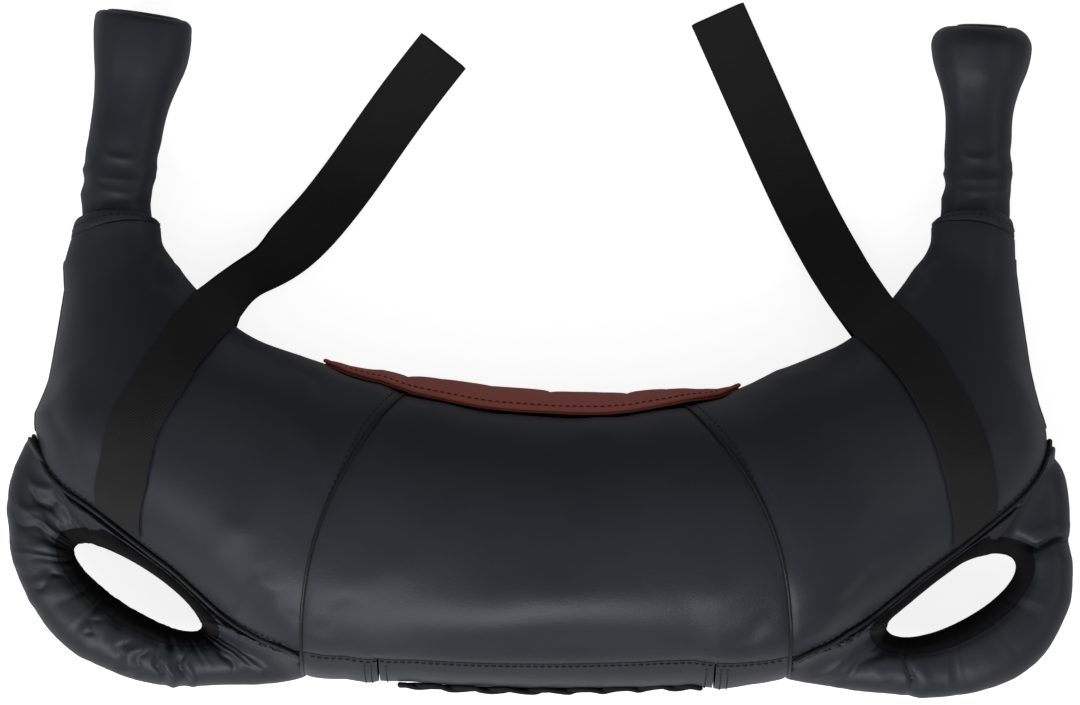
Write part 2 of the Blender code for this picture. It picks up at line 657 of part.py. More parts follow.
def build_grip(side, sign):
    """A horn grip: core with a ball base, leather sleeve and end cap, all turned about the grip's axis."""
    lean = GRIP_LEAN[side] * sign
    pivot = pivot_empty(f"{side}_grip_pivot", grip_centre(sign), (-math.pi / 2, 0.0, lean))
    shares = np.linspace(0.0, GRIP_END_SHARE, GRIP_RINGS)
    radii = grip_radius(shares)
    heights = shares * GRIP_LENGTH * GRIP_LENGTH_SHARES[side]
    sleeve_out = ball_points(GRIP_RADIUS, BALL_ANGLES) + list(zip(radii, heights))
    sleeve_in = ball_points(GRIP_RADIUS - SKIN, BALL_ANGLES) + list(zip(radii - SKIN, heights))
    turned(f"{side}_grip_sleeve", sleeve_out[::-1] + sleeve_in, "leather", pivot)
    slim = GRIP_RADIUS - SKIN - CLEARANCE
    core = [(0.0, heights[-2])] + [(r - SKIN - CLEARANCE, h) for r, h in zip(radii, heights)][-2::-1]
    turned(f"{side}_grip_core", core + ball_points(slim, CORE_ANGLES) + [(0.0, -slim)], "stuffing", pivot)
    seat = heights[-2] + CLEARANCE
    rim = radii[-1] - SKIN - CLEARANCE
    top = heights[-1] + END_CAP_THICKNESS
    inner_rim = radii[-2] - SKIN - 2 * CLEARANCE
    inner, outer = CAP_RIM_SHARES
    cap = [(0.0, top + END_CAP_THICKNESS / 2), (rim * inner, top + END_CAP_THICKNESS / 3), (rim * outer, top)]
    cap += [(rim, heights[-1]), (min(rim, inner_rim), seat), (0.0, seat)]
    turned(f"{side}_grip_end_cap", cap, "leather", pivot)


def strap_hinge(sign):
    """Middle of the fold line of a strap, its direction and the way that the strap leaves the bag."""
    t = STRAP_INNER_SHARE
    step = 0.5 * WEBBING_WIDTH / HALF_WIDTH
    near = skin_points([t - step, t, t + step], 0.0)
    run = near[2] - near[0]
    run[2] = 0.0
    run /= np.linalg.norm(run)
    away = np.array([-run[1], run[0], 0.0])
    if away @ (near[1] - skin_points(t, 0.5)) < 0:
        away = -away
    along, around = (share * np.linspace(-1.0, 1.0, STRAP_STEPS + 1) for share in STRAP_ROOM_SHARES)
    spread = skin_points(t + along[:, None] * step, around)
    furthest = ((spread - near[1]) @ away).max()
    reach = WEBBING_GAP / 2 + WEBBING_THICKNESS + STRAP_ROOT_REACH / 2 + CLEARANCE
    middle = near[1] + away * (furthest + reach)
    flip = np.array([sign, 1.0, 1.0])
    return middle * flip, run * flip, away * flip


def strap_route(side, sign):
    """Middle line of the free strap on plan and its height above the floor."""
    middle, _, away = strap_hinge(sign)
    headings = np.array([math.atan2(away[1], -sign * away[0]), *STRAP_HEADINGS[side]])
    share = np.linspace(0.0, 1.0, STRAP_STEPS + 1)
    heading = smooth(np.linspace(0.0, 1.0, len(headings)), headings, (share[1:] + share[:-1]) / 2)
    move = STRAP_LENGTH / STRAP_STEPS * np.stack([-sign * np.cos(heading), np.sin(heading)], axis=-1)
    plan = middle[:2] + np.concatenate([[[0.0, 0.0]], np.cumsum(move, axis=0)])
    low = WEBBING_THICKNESS + WEBBING_GAP / 2 + CLEARANCE
    left = np.clip(1.0 - share * STRAP_LENGTH / STRAP_DROP_LENGTH, 0.0, 1.0)
    height = low + (middle[2] - low) * left**STRAP_DROP_POWER
    return np.concatenate([plan, height[:, None]], axis=1)


def build_strap(side, sign):
    """A strap: two legs sewn to the bag and a free loop folded at its tip, which turns about the edge."""
    middle, run, away = strap_hinge(sign)
    station = np.array([sign * (STRAP_INNER_SHARE + STRAP_OUTER_SHARE) / 2])
    start, stop = LEG_END_SHARES
    for name, lines in (("front", front_lines(station)[0]), ("back", 3.0 - back_lines(station)[0])):
        u = np.sort(np.concatenate([LEG_END_SHARES, lines[(lines > start) & (lines < stop)]]))
        q = u if name == "front" else 3.0 - u
        t = STRAP_INNER_SHARE + (STRAP_OUTER_SHARE - STRAP_INNER_SHARE) * u
        step = SEAM_GAP / HALF_WIDTH
        slope = np.linalg.norm(skin_points(t + step, q) - skin_points(t - step, q), axis=-1) / (2 * step)
        columns = sign * (t[:, None] + 0.5 * WEBBING_WIDTH / slope[:, None] * np.linspace(-1.0, 1.0, 4))
        top = raised(columns, q[:, None], STITCH_RISE + WEBBING_THICKNESS)
        slab(f"{side}_strap_{name}_leg", top, raised(columns, q[:, None], STITCH_RISE), "webbing")
    route = strap_route(side, sign)
    ahead = np.gradient(route, axis=0)
    ahead /= np.linalg.norm(ahead, axis=-1, keepdims=True)
    route[0] -= ahead[0] * STRAP_ROOT_REACH
    across = np.cross(ahead, [0.0, 0.0, 1.0])
    across /= np.linalg.norm(across, axis=-1, keepdims=True)
    above = np.cross(across, ahead)
    out = WEBBING_GAP / 2 + WEBBING_THICKNESS
    lines = []
    for reach in (out, WEBBING_GAP / 2):
        tip = [route[-1] + reach * (math.sin(a) * above[-1] + math.cos(a) * ahead[-1]) for a in FOLD_ANGLES]
        lines.append(np.concatenate([route + above * reach, tip, (route - above * reach)[::-1]]))
    sideways = np.concatenate([across, np.repeat(across[-1:], len(FOLD_ANGLES), axis=0), across[::-1]])
    width = np.array([-0.5, 0.5]) * WEBBING_WIDTH
    grids = [line[:, None] + sideways[:, None] * width[:, None] for line in lines]
    pivot = pivot_empty(f"{side}_strap_pivot", middle)
    slab(f"{side}_strap_loop", grids[0], grids[1], "webbing", pivot=middle, parent=pivot)


def evened(values, times):
    """Values round a closed row, each drawn halfway to its two neighbours."""
    for _ in range(times):
        values = 0.25 * np.roll(values, 1, axis=0) + 0.5 * values + 0.25 * np.roll(values, -1, axis=0)
    return values


def loop_frame(side):
    """For each station of a hand loop: hole point, outer point, bottom, top and squareness of its section."""
    tilt = HOLE_TILT[side]
    axes = np.array([[math.cos(tilt), math.sin(tilt)], [-math.sin(tilt), math.cos(tilt)]])
    semi = 0.5 * np.array([HOLE_LENGTH, HOLE_WIDTH[side]])
    centre = place(HOLE_SHARES[side])

    def facing(points):
        """Directions from the hole's centre, measured so that they turn evenly round its long shape."""
        towards = (points - centre) @ axes.T / (semi + 0.5 * LOOP_THICKNESS)
        return towards / np.linalg.norm(towards, axis=-1, keepdims=True)

    room = 2 * PIPING_RADIUS + LOOP_PIPING_GAP
    fine_t = np.linspace(*LOOP_SEAM_SHARES, FINE_STEPS)
    fine = beside_edge(fine_t, 1.5, room)[:, :2]
    length = np.concatenate([[0.0], np.cumsum(np.linalg.norm(np.diff(fine, axis=0), axis=1))])
    turn = np.unwrap(np.arctan2(*facing(fine).T[::-1]))
    spread = length / length[-1] + (turn - turn[0]) / (turn[-1] - turn[0])
    seam_t = np.interp(np.linspace(0.0, spread[-1], LOOP_SEAM_STATIONS), spread, fine_t)
    seam = beside_edge(seam_t, 1.5, room)[:, :2]
    knots = np.concatenate([seam[-1:], place(LOOP_SHARES[side])[::-1], seam[:1]])
    steps = np.concatenate([[0.0], np.cumsum(np.linalg.norm(np.diff(knots, axis=0), axis=1))])
    outside = smooth(steps, knots, np.linspace(0.0, steps[-1], LOOP_STATIONS + 2)[1:-1])

    outer = np.concatenate([seam, outside])
    round_hole = np.linspace(-math.pi, math.pi, FINE_STEPS, endpoint=False)
    hole = centre + (np.stack([np.cos(round_hole), np.sin(round_hole)], axis=-1) * semi) @ axes
    near = np.linalg.norm(hole[:, None] - fine[None], axis=-1).argmin(axis=1)
    square = normals_of(fine)[near]
    short = LOOP_LEAST_WIDTH + ((hole - fine[near]) * square).sum(axis=-1, keepdims=True)
    hole = evened(hole - square * np.maximum(short, 0.0), HOLE_EVENING)
    towards = np.arctan2(*facing(outer).T[::-1])
    inner = [np.interp(towards, round_hole, hole[:, k], period=2 * math.pi) for k in (0, 1)]
    inner = np.stack(inner, axis=-1)
    wall_top = skin_points(seam_t, 1.0)[:, 2]
    wall_low = skin_points(seam_t, 2.0)[:, 2]
    level = (wall_top + wall_low) / 2
    half = np.maximum((wall_top - wall_low) / 2, 0.5 * LOOP_LEAST_HEIGHT)
    count = len(outside)
    top = np.concatenate([level + half, np.full(count, LOOP_HEIGHT + 0.5 * LOOP_THICKNESS)])
    low = np.concatenate([level - half, np.full(count, LOOP_HEIGHT - 0.5 * LOOP_THICKNESS)])
    power = np.concatenate([np.full(len(seam), SEAM_SIDE_POWER), np.full(count, FREE_SIDE_POWER)])
    top, low, power = (evened(x, SECTION_EVENING) for x in (top, low, power))
    return inner, outer, low, top, power


def normals_of(outline):
    """Unit vectors pointing out of a closed outline on plan."""
    along = np.roll(outline, -1, axis=0) - np.roll(outline, 1, axis=0)
    normal = np.stack([along[:, 1], -along[:, 0]], axis=-1)
    return normal / np.linalg.norm(normal, axis=-1, keepdims=True)


def loop_points(frame, angles):
    """Points of a hand loop's skin; angle 0 faces the hole and a half turn faces outwards."""
    inner, outer, low, top, power = frame
    middle = (outer + inner)[:, None] / 2
    half = (outer - inner)[:, None] / 2
    bend = (2.0 / power)[:, None]
    plan = middle - half * signed_power(np.cos(angles), bend)[..., None]
    height = 0.5 * (top + low)[:, None] + signed_power(np.sin(angles), bend) * 0.5 * (top - low)[:, None]
    return np.concatenate([plan, height[..., None]], axis=-1)


def grid_normals(grid):
    """Outward unit vectors at the points of a grid that is closed both ways."""
    down = np.roll(grid, -1, axis=0) - np.roll(grid, 1, axis=0)
    round_it = np.roll(grid, -1, axis=1) - np.roll(grid, 1, axis=1)
    normal = np.cross(round_it, down)
    return normal / np.linalg.norm(normal, axis=-1, keepdims=True)


def build_hand_loop(side, sign):
    """A hand loop round its hole: C-shaped cover and lining, and a stuffed core on the free side."""
    flip = np.array([sign, 1.0, 1.0])
    lining = np.linspace(-LINING_ANGLE, LINING_ANGLE, LINING_STEPS + 1)
    start = LINING_ANGLE + LINING_GAP_ANGLE
    cover = np.linspace(start, 2 * math.pi - start, COVER_STEPS + 1)
    skin = loop_points(loop_frame(side), np.concatenate([lining, cover])[None])
    inwards = -grid_normals(skin)
    split = len(lining)
    depth = np.full((1, skin.shape[1], 1), LOOP_SKIN)
    depth[:, [0, split - 1, split, -1]] *= LOOP_EDGE_SHARE
    outside, inside = skin * flip, (skin + inwards * depth) * flip
    halves = (("lining", np.s_[:, :split], "lining"), ("cover", np.s_[:, split:], "leather"))
    for name, part, finish_name in halves:
        slab(f"{side}_hand_loop_{name}", outside[part], inside[part], finish_name, wrap_rows=True)
    core = (skin + inwards * (LOOP_SKIN + LOOP_CORE_GAP)) * flip
    loft(f"{side}_hand_loop_core", core[LOOP_SEAM_STATIONS:], "stuffing")


def build():
    for obj in list(bpy.data.objects):
        bpy.data.objects.remove(obj)
    build_shell()
    build_neck_pad()
    build_trim()
    build_lace()
    build_filling()
    for side, sign in SIDES.items():
        build_grip(side, sign)
        build_strap(side, sign)
        build_hand_loop(side, sign)


build()
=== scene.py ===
import math

import bmesh
import bpy
import numpy as np
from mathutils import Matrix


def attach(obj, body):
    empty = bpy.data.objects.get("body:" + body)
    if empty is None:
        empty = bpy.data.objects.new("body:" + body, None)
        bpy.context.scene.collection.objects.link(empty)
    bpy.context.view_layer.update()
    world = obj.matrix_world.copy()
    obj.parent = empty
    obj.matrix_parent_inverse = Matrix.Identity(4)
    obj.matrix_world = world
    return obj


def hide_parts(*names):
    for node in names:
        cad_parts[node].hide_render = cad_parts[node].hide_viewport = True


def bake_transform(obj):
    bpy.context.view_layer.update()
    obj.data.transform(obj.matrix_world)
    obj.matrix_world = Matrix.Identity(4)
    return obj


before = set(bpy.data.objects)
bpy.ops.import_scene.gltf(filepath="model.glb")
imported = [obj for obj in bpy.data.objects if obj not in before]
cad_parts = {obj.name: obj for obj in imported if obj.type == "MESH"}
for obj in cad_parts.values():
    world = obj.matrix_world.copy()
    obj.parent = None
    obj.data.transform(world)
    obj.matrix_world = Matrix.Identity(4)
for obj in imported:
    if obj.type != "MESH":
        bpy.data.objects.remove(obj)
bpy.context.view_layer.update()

sides = {"left": -1.0, "right": 1.0}


# Small numpy helpers

def curveThrough(knots, values, at):
    # cubic through values at knots, each slope taken from the two neighbours
    knots = np.asarray(knots, float)
    values = np.asarray(values, float)
    slopes = np.gradient(values, knots, axis=0)
    at = np.clip(at, knots[0], knots[-1])
    k = np.clip(np.searchsorted(knots, at, side="right") - 1, 0, len(knots) - 2)
    gap = knots[k + 1] - knots[k]
    x = (at - knots[k]) / gap
    if values.ndim > 1:
        x, gap = x[..., None], gap[..., None]
    rise = slopes[k] * gap * x * (1 - x) ** 2 + slopes[k + 1] * gap * x * x * (x - 1)
    return values[k] * (1 + 2 * x) * (1 - x) ** 2 + values[k + 1] * x * x * (3 - 2 * x) + rise


def unit(vectors):
    return vectors / np.maximum(np.linalg.norm(vectors, axis=-1, keepdims=True), 1e-12)


def signedPower(value, power):
    return np.sign(value) * np.abs(value) ** power


def softStep(value, low, high):
    # 0 below low, 1 above high, smooth between
    x = np.clip((value - low) / (high - low), 0.0, 1.0)
    return x * x * (3 - 2 * x)


def bump(distance, width):
    return np.exp(-(distance / width) ** 2)


noiseValues = {
    "place": (73856093, 19349663, 83492791), "seed": 52711, "mask": 0x7FFFFFFF,
    "stir": ((13, 1274126177), (16, 1103515245)),
}


def softNoise(points, size, seed):
    # smooth noise from -1 to 1: eight lattice values round each point, eased together
    mask = noiseValues["mask"]
    place = np.asarray(points, float) / size
    cell = np.floor(place).astype(np.int64)
    x = place - cell
    x = x * x * (3 - 2 * x)
    total = 0.0
    for corner in range(8):
        shift = np.array([corner >> 2 & 1, corner >> 1 & 1, corner & 1])
        at = (cell + shift) * noiseValues["place"]
        key = (at[..., 0] ^ at[..., 1] ^ at[..., 2] ^ (seed * noiseValues["seed"])) & mask
        for places, factor in noiseValues["stir"]:
            key = ((key ^ (key >> places)) * factor) & mask
        weight = np.prod(np.where(shift == 1, x, 1.0 - x), axis=-1)
        total = total + weight * (key / (mask // 2) - 1.0)
    return total


def evened(rows, times):
    # each value drawn halfway to the mean of its two neighbours, round a closed row
    for _ in range(times):
        rows = 0.5 * rows + 0.25 * (np.roll(rows, 1, axis=0) + np.roll(rows, -1, axis=0))
    return rows


def runAlong(path):
    # distance from the start of a path to each of its points
    return np.concatenate([[0.0], np.cumsum(np.linalg.norm(np.diff(path, axis=0), axis=1))])


def turnAngles(count):
    # angles evenly round a whole turn
    return np.linspace(0.0, 2 * math.pi, count, endpoint=False)


def together(*parts):
    # arrays spread to one shape and set side by side in the last axis
    return np.stack(np.broadcast_arrays(*parts), -1)


def between(low, high, count):
    # for each row, count values from low to high
    share = np.linspace(0.0, 1.0, count)
    return low[:, None] * (1 - share) + high[:, None] * share


# Mesh helpers

meshValues = {"sharp": math.radians(50), "endRing": 0.7, "endOut": 0.6, "endTip": 0.85}


def gridQuads(rows, columns, closedRows=False, closedColumns=False):
    # the four corners of each cell of a grid
    r = np.arange(rows if closedRows else rows - 1)[:, None]
    c = np.arange(columns if closedColumns else columns - 1)[None]
    nextRow, nextColumn = (r + 1) % rows * columns, (c + 1) % columns
    r = r * columns
    return together(r + c, r + nextColumn, nextRow + nextColumn, nextRow + c).reshape(-1, 4)


def makePiece(name, points, faces, look, uv=None):
    # a closed mesh with its faces turned outwards; uv holds one pair for each point
    mesh = bpy.data.meshes.new(name)
    mesh.from_pydata(np.asarray(points).tolist(), [], [list(map(int, face)) for face in faces])
    if uv is not None:
        layer = mesh.uv_layers.new(name="UVMap")
        corner = np.empty(len(mesh.loops), np.int32)
        mesh.loops.foreach_get("vertex_index", corner)
        layer.data.foreach_set("uv", np.asarray(uv, np.float32)[corner].ravel())
    shape = bmesh.new()
    shape.from_mesh(mesh)
    bmesh.ops.recalc_face_normals(shape, faces=shape.faces)
    shape.to_mesh(mesh)
    shape.free()
    mesh.shade_smooth()
    mesh.set_sharp_from_angle(angle=meshValues["sharp"])
    mesh.materials.append(look)
    piece = bpy.data.objects.new(name, mesh)
    bpy.context.scene.collection.objects.link(piece)
    return piece


def shell(name, outside, inside, look, closedRows=False, closedColumns=False, uv=None):
    # a sheet with thickness: the outside grid, the inside grid, and a rim along each open edge
    rows, columns = outside.shape[:2]
    count = rows * columns
    quads = gridQuads(rows, columns, closedRows, closedColumns)
    parts = [quads, quads[:, ::-1] + count]
    if not closedRows:
        for row, turn in ((0, 1), (rows - 1, -1)):
            a = row * columns + np.arange(columns if closedColumns else columns - 1)
            b = row * columns + (a - row * columns + 1) % columns
            parts.append(np.stack([a, a + count, b + count, b], -1)[:, ::turn])
    if not closedColumns:
        for column, turn in ((0, -1), (columns - 1, 1)):
            a = np.arange(rows if closedRows else rows - 1) * columns + column
            b = (a + columns) % count
            parts.append(np.stack([a, a + count, b + count, b], -1)[:, ::turn])
    points = np.concatenate([outside.reshape(-1, 3), inside.reshape(-1, 3)])
    if uv is not None:
        uv = np.concatenate([uv.reshape(-1, 2), uv.reshape(-1, 2)])
    return makePiece(name, points, np.concatenate(parts), look, uv)


def tubePoints(path, normals, radius, count, squash=1.0):
    # rings of points round a path: path + radius (cos a * side + squash sin a * normal)
    ahead = unit(np.gradient(path, axis=0))
    aside = unit(np.cross(ahead, normals))
    up = np.cross(aside, ahead)
    angle = turnAngles(count)[None, :, None]
    radius = np.broadcast_to(radius, (len(path), count))[..., None]
    turn = np.cos(angle) * aside[:, None] + squash * np.sin(angle) * up[:, None]
    return path[:, None] + radius * turn


def cappedTube(name, rings, look, uv=None, bulge=1.0):
    # rings joined into a tube, each end closed by a smaller ring and a point pushed out a little
    count, around = rings.shape[:2]
    ends = []
    for ring, before in ((rings[0], rings[1]), (rings[-1], rings[-2])):
        centre = ring.mean(axis=0)
        reach = np.linalg.norm(ring - centre, axis=-1).mean()
        out = unit(centre - before.mean(axis=0)) * reach * bulge
        ring = centre + (ring - centre) * meshValues["endRing"] + out * meshValues["endOut"]
        ends.append((ring, centre + out * meshValues["endTip"]))
    grid = np.concatenate([ends[0][0][None], rings, ends[1][0][None]])
    points = np.concatenate([grid.reshape(-1, 3), ends[0][1][None], ends[1][1][None]])
    first, last = len(points) - 2, len(points) - 1
    a = np.arange(around)
    b = (a + 1) % around
    base = (count + 1) * around
    faces = gridQuads(count + 2, around, closedColumns=True).tolist()
    faces += np.stack([b, a, np.full(around, first)], -1).tolist()
    faces += np.stack([base + a, base + b, np.full(around, last)], -1).tolist()
    if uv is not None:
        uv = np.concatenate([uv[:1], uv, uv[-1:]]).reshape(-1, 2)
        uv = np.concatenate([uv, uv[:1], uv[-1:]])
    return makePiece(name, points, faces, look, uv)


threadValues = {
    "pitch": 0.0042, "length": 0.0030, "radius": 0.00036, "bow": 1.6, "dip": 0.7, "around": 6,
    "widths": [0.35, 0.9, 1.0, 0.9, 0.35],
}


def stitches(name, rows, look):
    # short thread bows laid along rows of (points, normals): each bow dips into the leather at both ends
    radius, length, around = threadValues["radius"], threadValues["length"], threadValues["around"]
    share = np.linspace(0.0, 1.0, len(threadValues["widths"]))
    height = (radius * (threadValues["bow"] * np.sin(math.pi * share) - threadValues["dip"]))[None, :, None]
    width = radius * np.array(threadValues["widths"])[None, :, None, None]
    angle = turnAngles(around)[:, None]
    each = len(share) * around
    allRings = []
    for path, normals in rows:
        run = runAlong(path)
        count = max(int(run[-1] / threadValues["pitch"]), 1)
        start = (np.arange(count) + 0.5) * run[-1] / count - length / 2
        at = start[:, None] + length * share[None]
        centre = np.stack([np.interp(at, run, path[:, k]) for k in range(3)], -1)
        normal = unit(np.stack([np.interp(at, run, normals[:, k]) for k in range(3)], -1))
        centre = centre + normal * height
        ahead = unit(np.gradient(centre, axis=1))
        aside = unit(np.cross(ahead, normal))
        up = np.cross(aside, ahead)
        ring = np.cos(angle) * aside[:, :, None] + np.sin(angle) * up[:, :, None]
        allRings.append((centre[:, :, None] + width * ring).reshape(-1, each, 3))
    rings = np.concatenate(allRings)
    base = each * np.arange(len(rings))[:, None]
    one = gridQuads(len(share), around, closedColumns=True)
    faces = (one[None] + base[..., None]).reshape(-1, 4).tolist()
    faces += (base + np.arange(around)[::-1]).tolist() + (base + each - around + np.arange(around)).tolist()
    return makePiece(name, rings.reshape(-1, 3), faces, look)


# Materials

def setInputs(tree, node, inputs):
    # each input gets a value, a colour, or the output that feeds it
    for key, value in inputs.items():
        if isinstance(value, bpy.types.NodeSocket):
            tree.links.new(value, node.inputs[key])
        else:
            node.inputs[key].default_value = value


def addNode(tree, kind, inputs=None, **settings):
    node = tree.nodes.new(kind)
    for key, value in settings.items():
        setattr(node, key, value)
    setInputs(tree, node, inputs or {})
    return node


def newLook(name, values):
    # a plain material of the look's colour and roughness, to be linked further
    look = bpy.data.materials.new(name)
    look.use_nodes = True
    look.diffuse_color = (*values["colour"], 1.0)
    shader = look.node_tree.nodes["Principled BSDF"]
    setInputs(look.node_tree, shader, {"Base Color": (*values["colour"], 1.0), "Roughness": values["roughness"]})
    return look, look.node_tree, shader


def ramp(tree, source, low, high, fromLow=0.0, fromHigh=1.0):
    # a number stretched from one span to another
    inputs = {"Value": source, "From Min": fromLow, "From Max": fromHigh, "To Min": low, "To Max": high}
    return addNode(tree, "ShaderNodeMapRange", inputs).outputs["Result"]


def weighted(tree, source, share, plus):
    # a number times a share, plus another number
    node = addNode(tree, "ShaderNodeMath", {0: source, 1: share, 2: plus}, operation="MULTIPLY_ADD")
    return node.outputs["Value"]


def noise(tree, place, scale, detail, **inputs):
    inputs = {"Vector": place, "Scale": scale, "Detail": detail, **inputs}
    return addNode(tree, "ShaderNodeTexNoise", inputs).outputs["Fac"]


def raised(tree, height, strength, depth, **below):
    # fine relief of a surface, on top of any relief below it
    inputs = {"Height": height, "Strength": strength, "Distance": depth, **below}
    return addNode(tree, "ShaderNodeBump", inputs).outputs["Normal"]


def mixed(tree, first, second, factor):
    # one colour fading into another
    inputs = {"A": (*first, 1.0), "B": (*second, 1.0), "Factor": factor}
    return addNode(tree, "ShaderNodeMix", inputs, data_type="RGBA").outputs["Result"]


grainValues = {
    "smooth": 0.6, "poreScale": 2.6, "slowScale": 9.0, "creaseScale": 70.0, "depth": 0.0002, "creaseDepth": 0.0012,
    "wornSpan": (0.35, 0.75), "glossSpan": (0.3, 0.7), "smoother": 0.05, "rougher": 0.06, "sheen": 0.03,
    "tint": (0.92, 0.94, 1.0),
}


def leatherLook(name, values):
    # pebbled grain from soft cells with pores on them, creases, and slow change of colour and gloss
    look, tree, shader = newLook(name, values)
    place = addNode(tree, "ShaderNodeTexCoord").outputs["Object"]
    cells = {"Vector": place, "Scale": values["grainScale"], "Smoothness": grainValues["smooth"]}
    grain = addNode(tree, "ShaderNodeTexVoronoi", cells, feature="SMOOTH_F1").outputs["Distance"]
    pores = noise(tree, place, values["grainScale"] * grainValues["poreScale"], 4.0, Roughness=0.6)
    slow = noise(tree, place, grainValues["slowScale"], 3.0, Roughness=0.55)
    creases = noise(tree, place, grainValues["creaseScale"], 5.0, Roughness=0.62, Distortion=0.8)
    small = raised(tree, weighted(tree, pores, values["poreShare"], grain), values["bump"], grainValues["depth"])
    worn = ramp(tree, slow, 0.0, 1.0, *grainValues["wornSpan"])
    smooth, rough = values["roughness"] - grainValues["smoother"], values["roughness"] + grainValues["rougher"]
    setInputs(tree, shader, {
        "Normal": raised(tree, creases, values["creaseBump"], grainValues["creaseDepth"], Normal=small),
        "Base Color": mixed(tree, values["colour"], values["worn"], worn),
        "Roughness": ramp(tree, slow, smooth, rough, *grainValues["glossSpan"]),
        "Specular IOR Level": values["gloss"],
        "Specular Tint": (*values.get("tint", grainValues["tint"]), 1.0),
        "Sheen Weight": grainValues["sheen"],
    })
    return look


weaveValues = {
    "sway": 0.4, "yarnScale": 0.8, "yarnLow": 0.55, "fuzzScale": 1400.0, "fuzz": 0.5, "stripeScale": 35.0,
    "stripe": 0.6, "ribShare": 0.6, "depth": 0.0003, "gloss": 0.25,
}


def webbingLook(name, values):
    # flat weave: ribs across the strap, broken up by yarns along it, from the strap's own UV in metres
    look, tree, shader = newLook(name, values)
    uv = addNode(tree, "ShaderNodeUVMap", uv_map="UVMap").outputs["UV"]
    settings = {"wave_type": "BANDS", "wave_profile": "SIN"}
    across = {"Vector": uv, "Scale": values["ribScale"], "Distortion": weaveValues["sway"], "Detail": 1.0}
    ribs = addNode(tree, "ShaderNodeTexWave", across, bands_direction="Y", **settings).outputs["Fac"]
    lengthwise = {"Vector": uv, "Scale": values["ribScale"] * weaveValues["yarnScale"]}
    yarns = addNode(tree, "ShaderNodeTexWave", lengthwise, bands_direction="X", **settings).outputs["Fac"]
    both = {0: ribs, 1: ramp(tree, yarns, weaveValues["yarnLow"], 1.0)}
    weave = addNode(tree, "ShaderNodeMath", both, operation="MULTIPLY").outputs["Value"]
    fuzz = noise(tree, uv, weaveValues["fuzzScale"], 3.0)
    stripe = noise(tree, uv, weaveValues["stripeScale"], 3.0)
    tone = weighted(tree, stripe, weaveValues["stripe"], ramp(tree, weave, 0.0, weaveValues["ribShare"]))
    height = weighted(tree, fuzz, weaveValues["fuzz"], weave)
    setInputs(tree, shader, {
        "Normal": raised(tree, height, values["bump"], weaveValues["depth"]),
        "Base Color": mixed(tree, values["dark"], values["colour"], tone),
        "Specular IOR Level": weaveValues["gloss"],
    })
    return look


clothValues = {"mottleScale": 60.0, "mottleSpan": (0.3, 0.7), "depth": 0.0006, "gloss": 0.15}


def clothLook(name, values):
    # brushed cloth: tangled fuzz over a soft mottle
    look, tree, shader = newLook(name, values)
    place = addNode(tree, "ShaderNodeTexCoord").outputs["Object"]
    fuzz = noise(tree, place, values["fuzzScale"], 6.0, Roughness=0.7, Distortion=0.6)
    mottle = ramp(tree, noise(tree, place, clothValues["mottleScale"], 3.0), 0.0, 1.0, *clothValues["mottleSpan"])
    setInputs(tree, shader, {
        "Normal": raised(tree, fuzz, values["bump"], clothValues["depth"]),
        "Base Color": mixed(tree, values["dark"], values["colour"], mottle),
        "Specular IOR Level": clothValues["gloss"],
    })
    return look


lookValues = {
    "bodyLeather": {
        "colour": (0.0110, 0.0122, 0.0165), "worn": (0.0165, 0.0177, 0.0225),
        "roughness": 0.44, "gloss": 0.19,
        "grainScale": 1150.0, "poreShare": 0.6, "bump": 0.28, "creaseBump": 0.10,
    },
    "trimLeather": {
        "colour": (0.004, 0.004, 0.005), "worn": (0.008, 0.008, 0.009), "roughness": 0.42, "gloss": 0.18,
        "grainScale": 1400.0, "poreShare": 0.6, "bump": 0.25, "creaseBump": 0.10,
    },
    "neckLeather": {
        "colour": (0.268, 0.060, 0.044), "worn": (0.310, 0.080, 0.063), "roughness": 0.58, "gloss": 0.16,
        "tint": (1.0, 0.92, 0.90),
        "grainScale": 1150.0, "poreShare": 0.6, "bump": 0.28, "creaseBump": 0.12,
    },
    "webbing": {
        "colour": (0.0092, 0.0090, 0.0088), "dark": (0.0036, 0.0036, 0.0038), "roughness": 0.85,
        "ribScale": 210.0, "bump": 0.55,
    },
    "lining": {"colour": (0.0036, 0.0038, 0.0036), "dark": (0.0016, 0.0017, 0.0016), "roughness": 0.95,
               "fuzzScale": 900.0, "bump": 0.9},
    "lace": {"colour": (0.0065, 0.0065, 0.0068), "dark": (0.0030, 0.0030, 0.0032), "roughness": 0.8,
             "fuzzScale": 2200.0, "bump": 0.5},
    "thread": {"colour": (0.010, 0.010, 0.011), "dark": (0.006, 0.006, 0.006), "roughness": 0.6,
               "fuzzScale": 3000.0, "bump": 0.3},
    "neckThread": {"colour": (0.050, 0.012, 0.010), "dark": (0.030, 0.008, 0.007), "roughness": 0.6,
                   "fuzzScale": 3000.0, "bump": 0.3},
    "stuffing": {"colour": (0.55, 0.53, 0.48), "dark": (0.42, 0.40, 0.36), "roughness": 0.95,
                 "fuzzScale": 500.0, "bump": 0.8},
    "sack": {"colour": (0.45, 0.38, 0.26), "dark": (0.34, 0.28, 0.19), "roughness": 0.95,
             "fuzzScale": 700.0, "bump": 0.7},
}
looks = {name: leatherLook(name, lookValues[name]) for name in ("bodyLeather", "trimLeather", "neckLeather")}
looks["webbing"] = webbingLook("webbing", lookValues["webbing"])
for name in ("lining", "lace", "thread", "neckThread", "stuffing", "sack"):
    looks[name] = clothLook(name, lookValues[name])
print("materials made")


# The body's base skin, the CAD surface laid as this bag lies: t runs along the crescent from -1 to 1, and q round
# the section, 0 at the inner edge, 1 and 2 at the corners of the outer wall

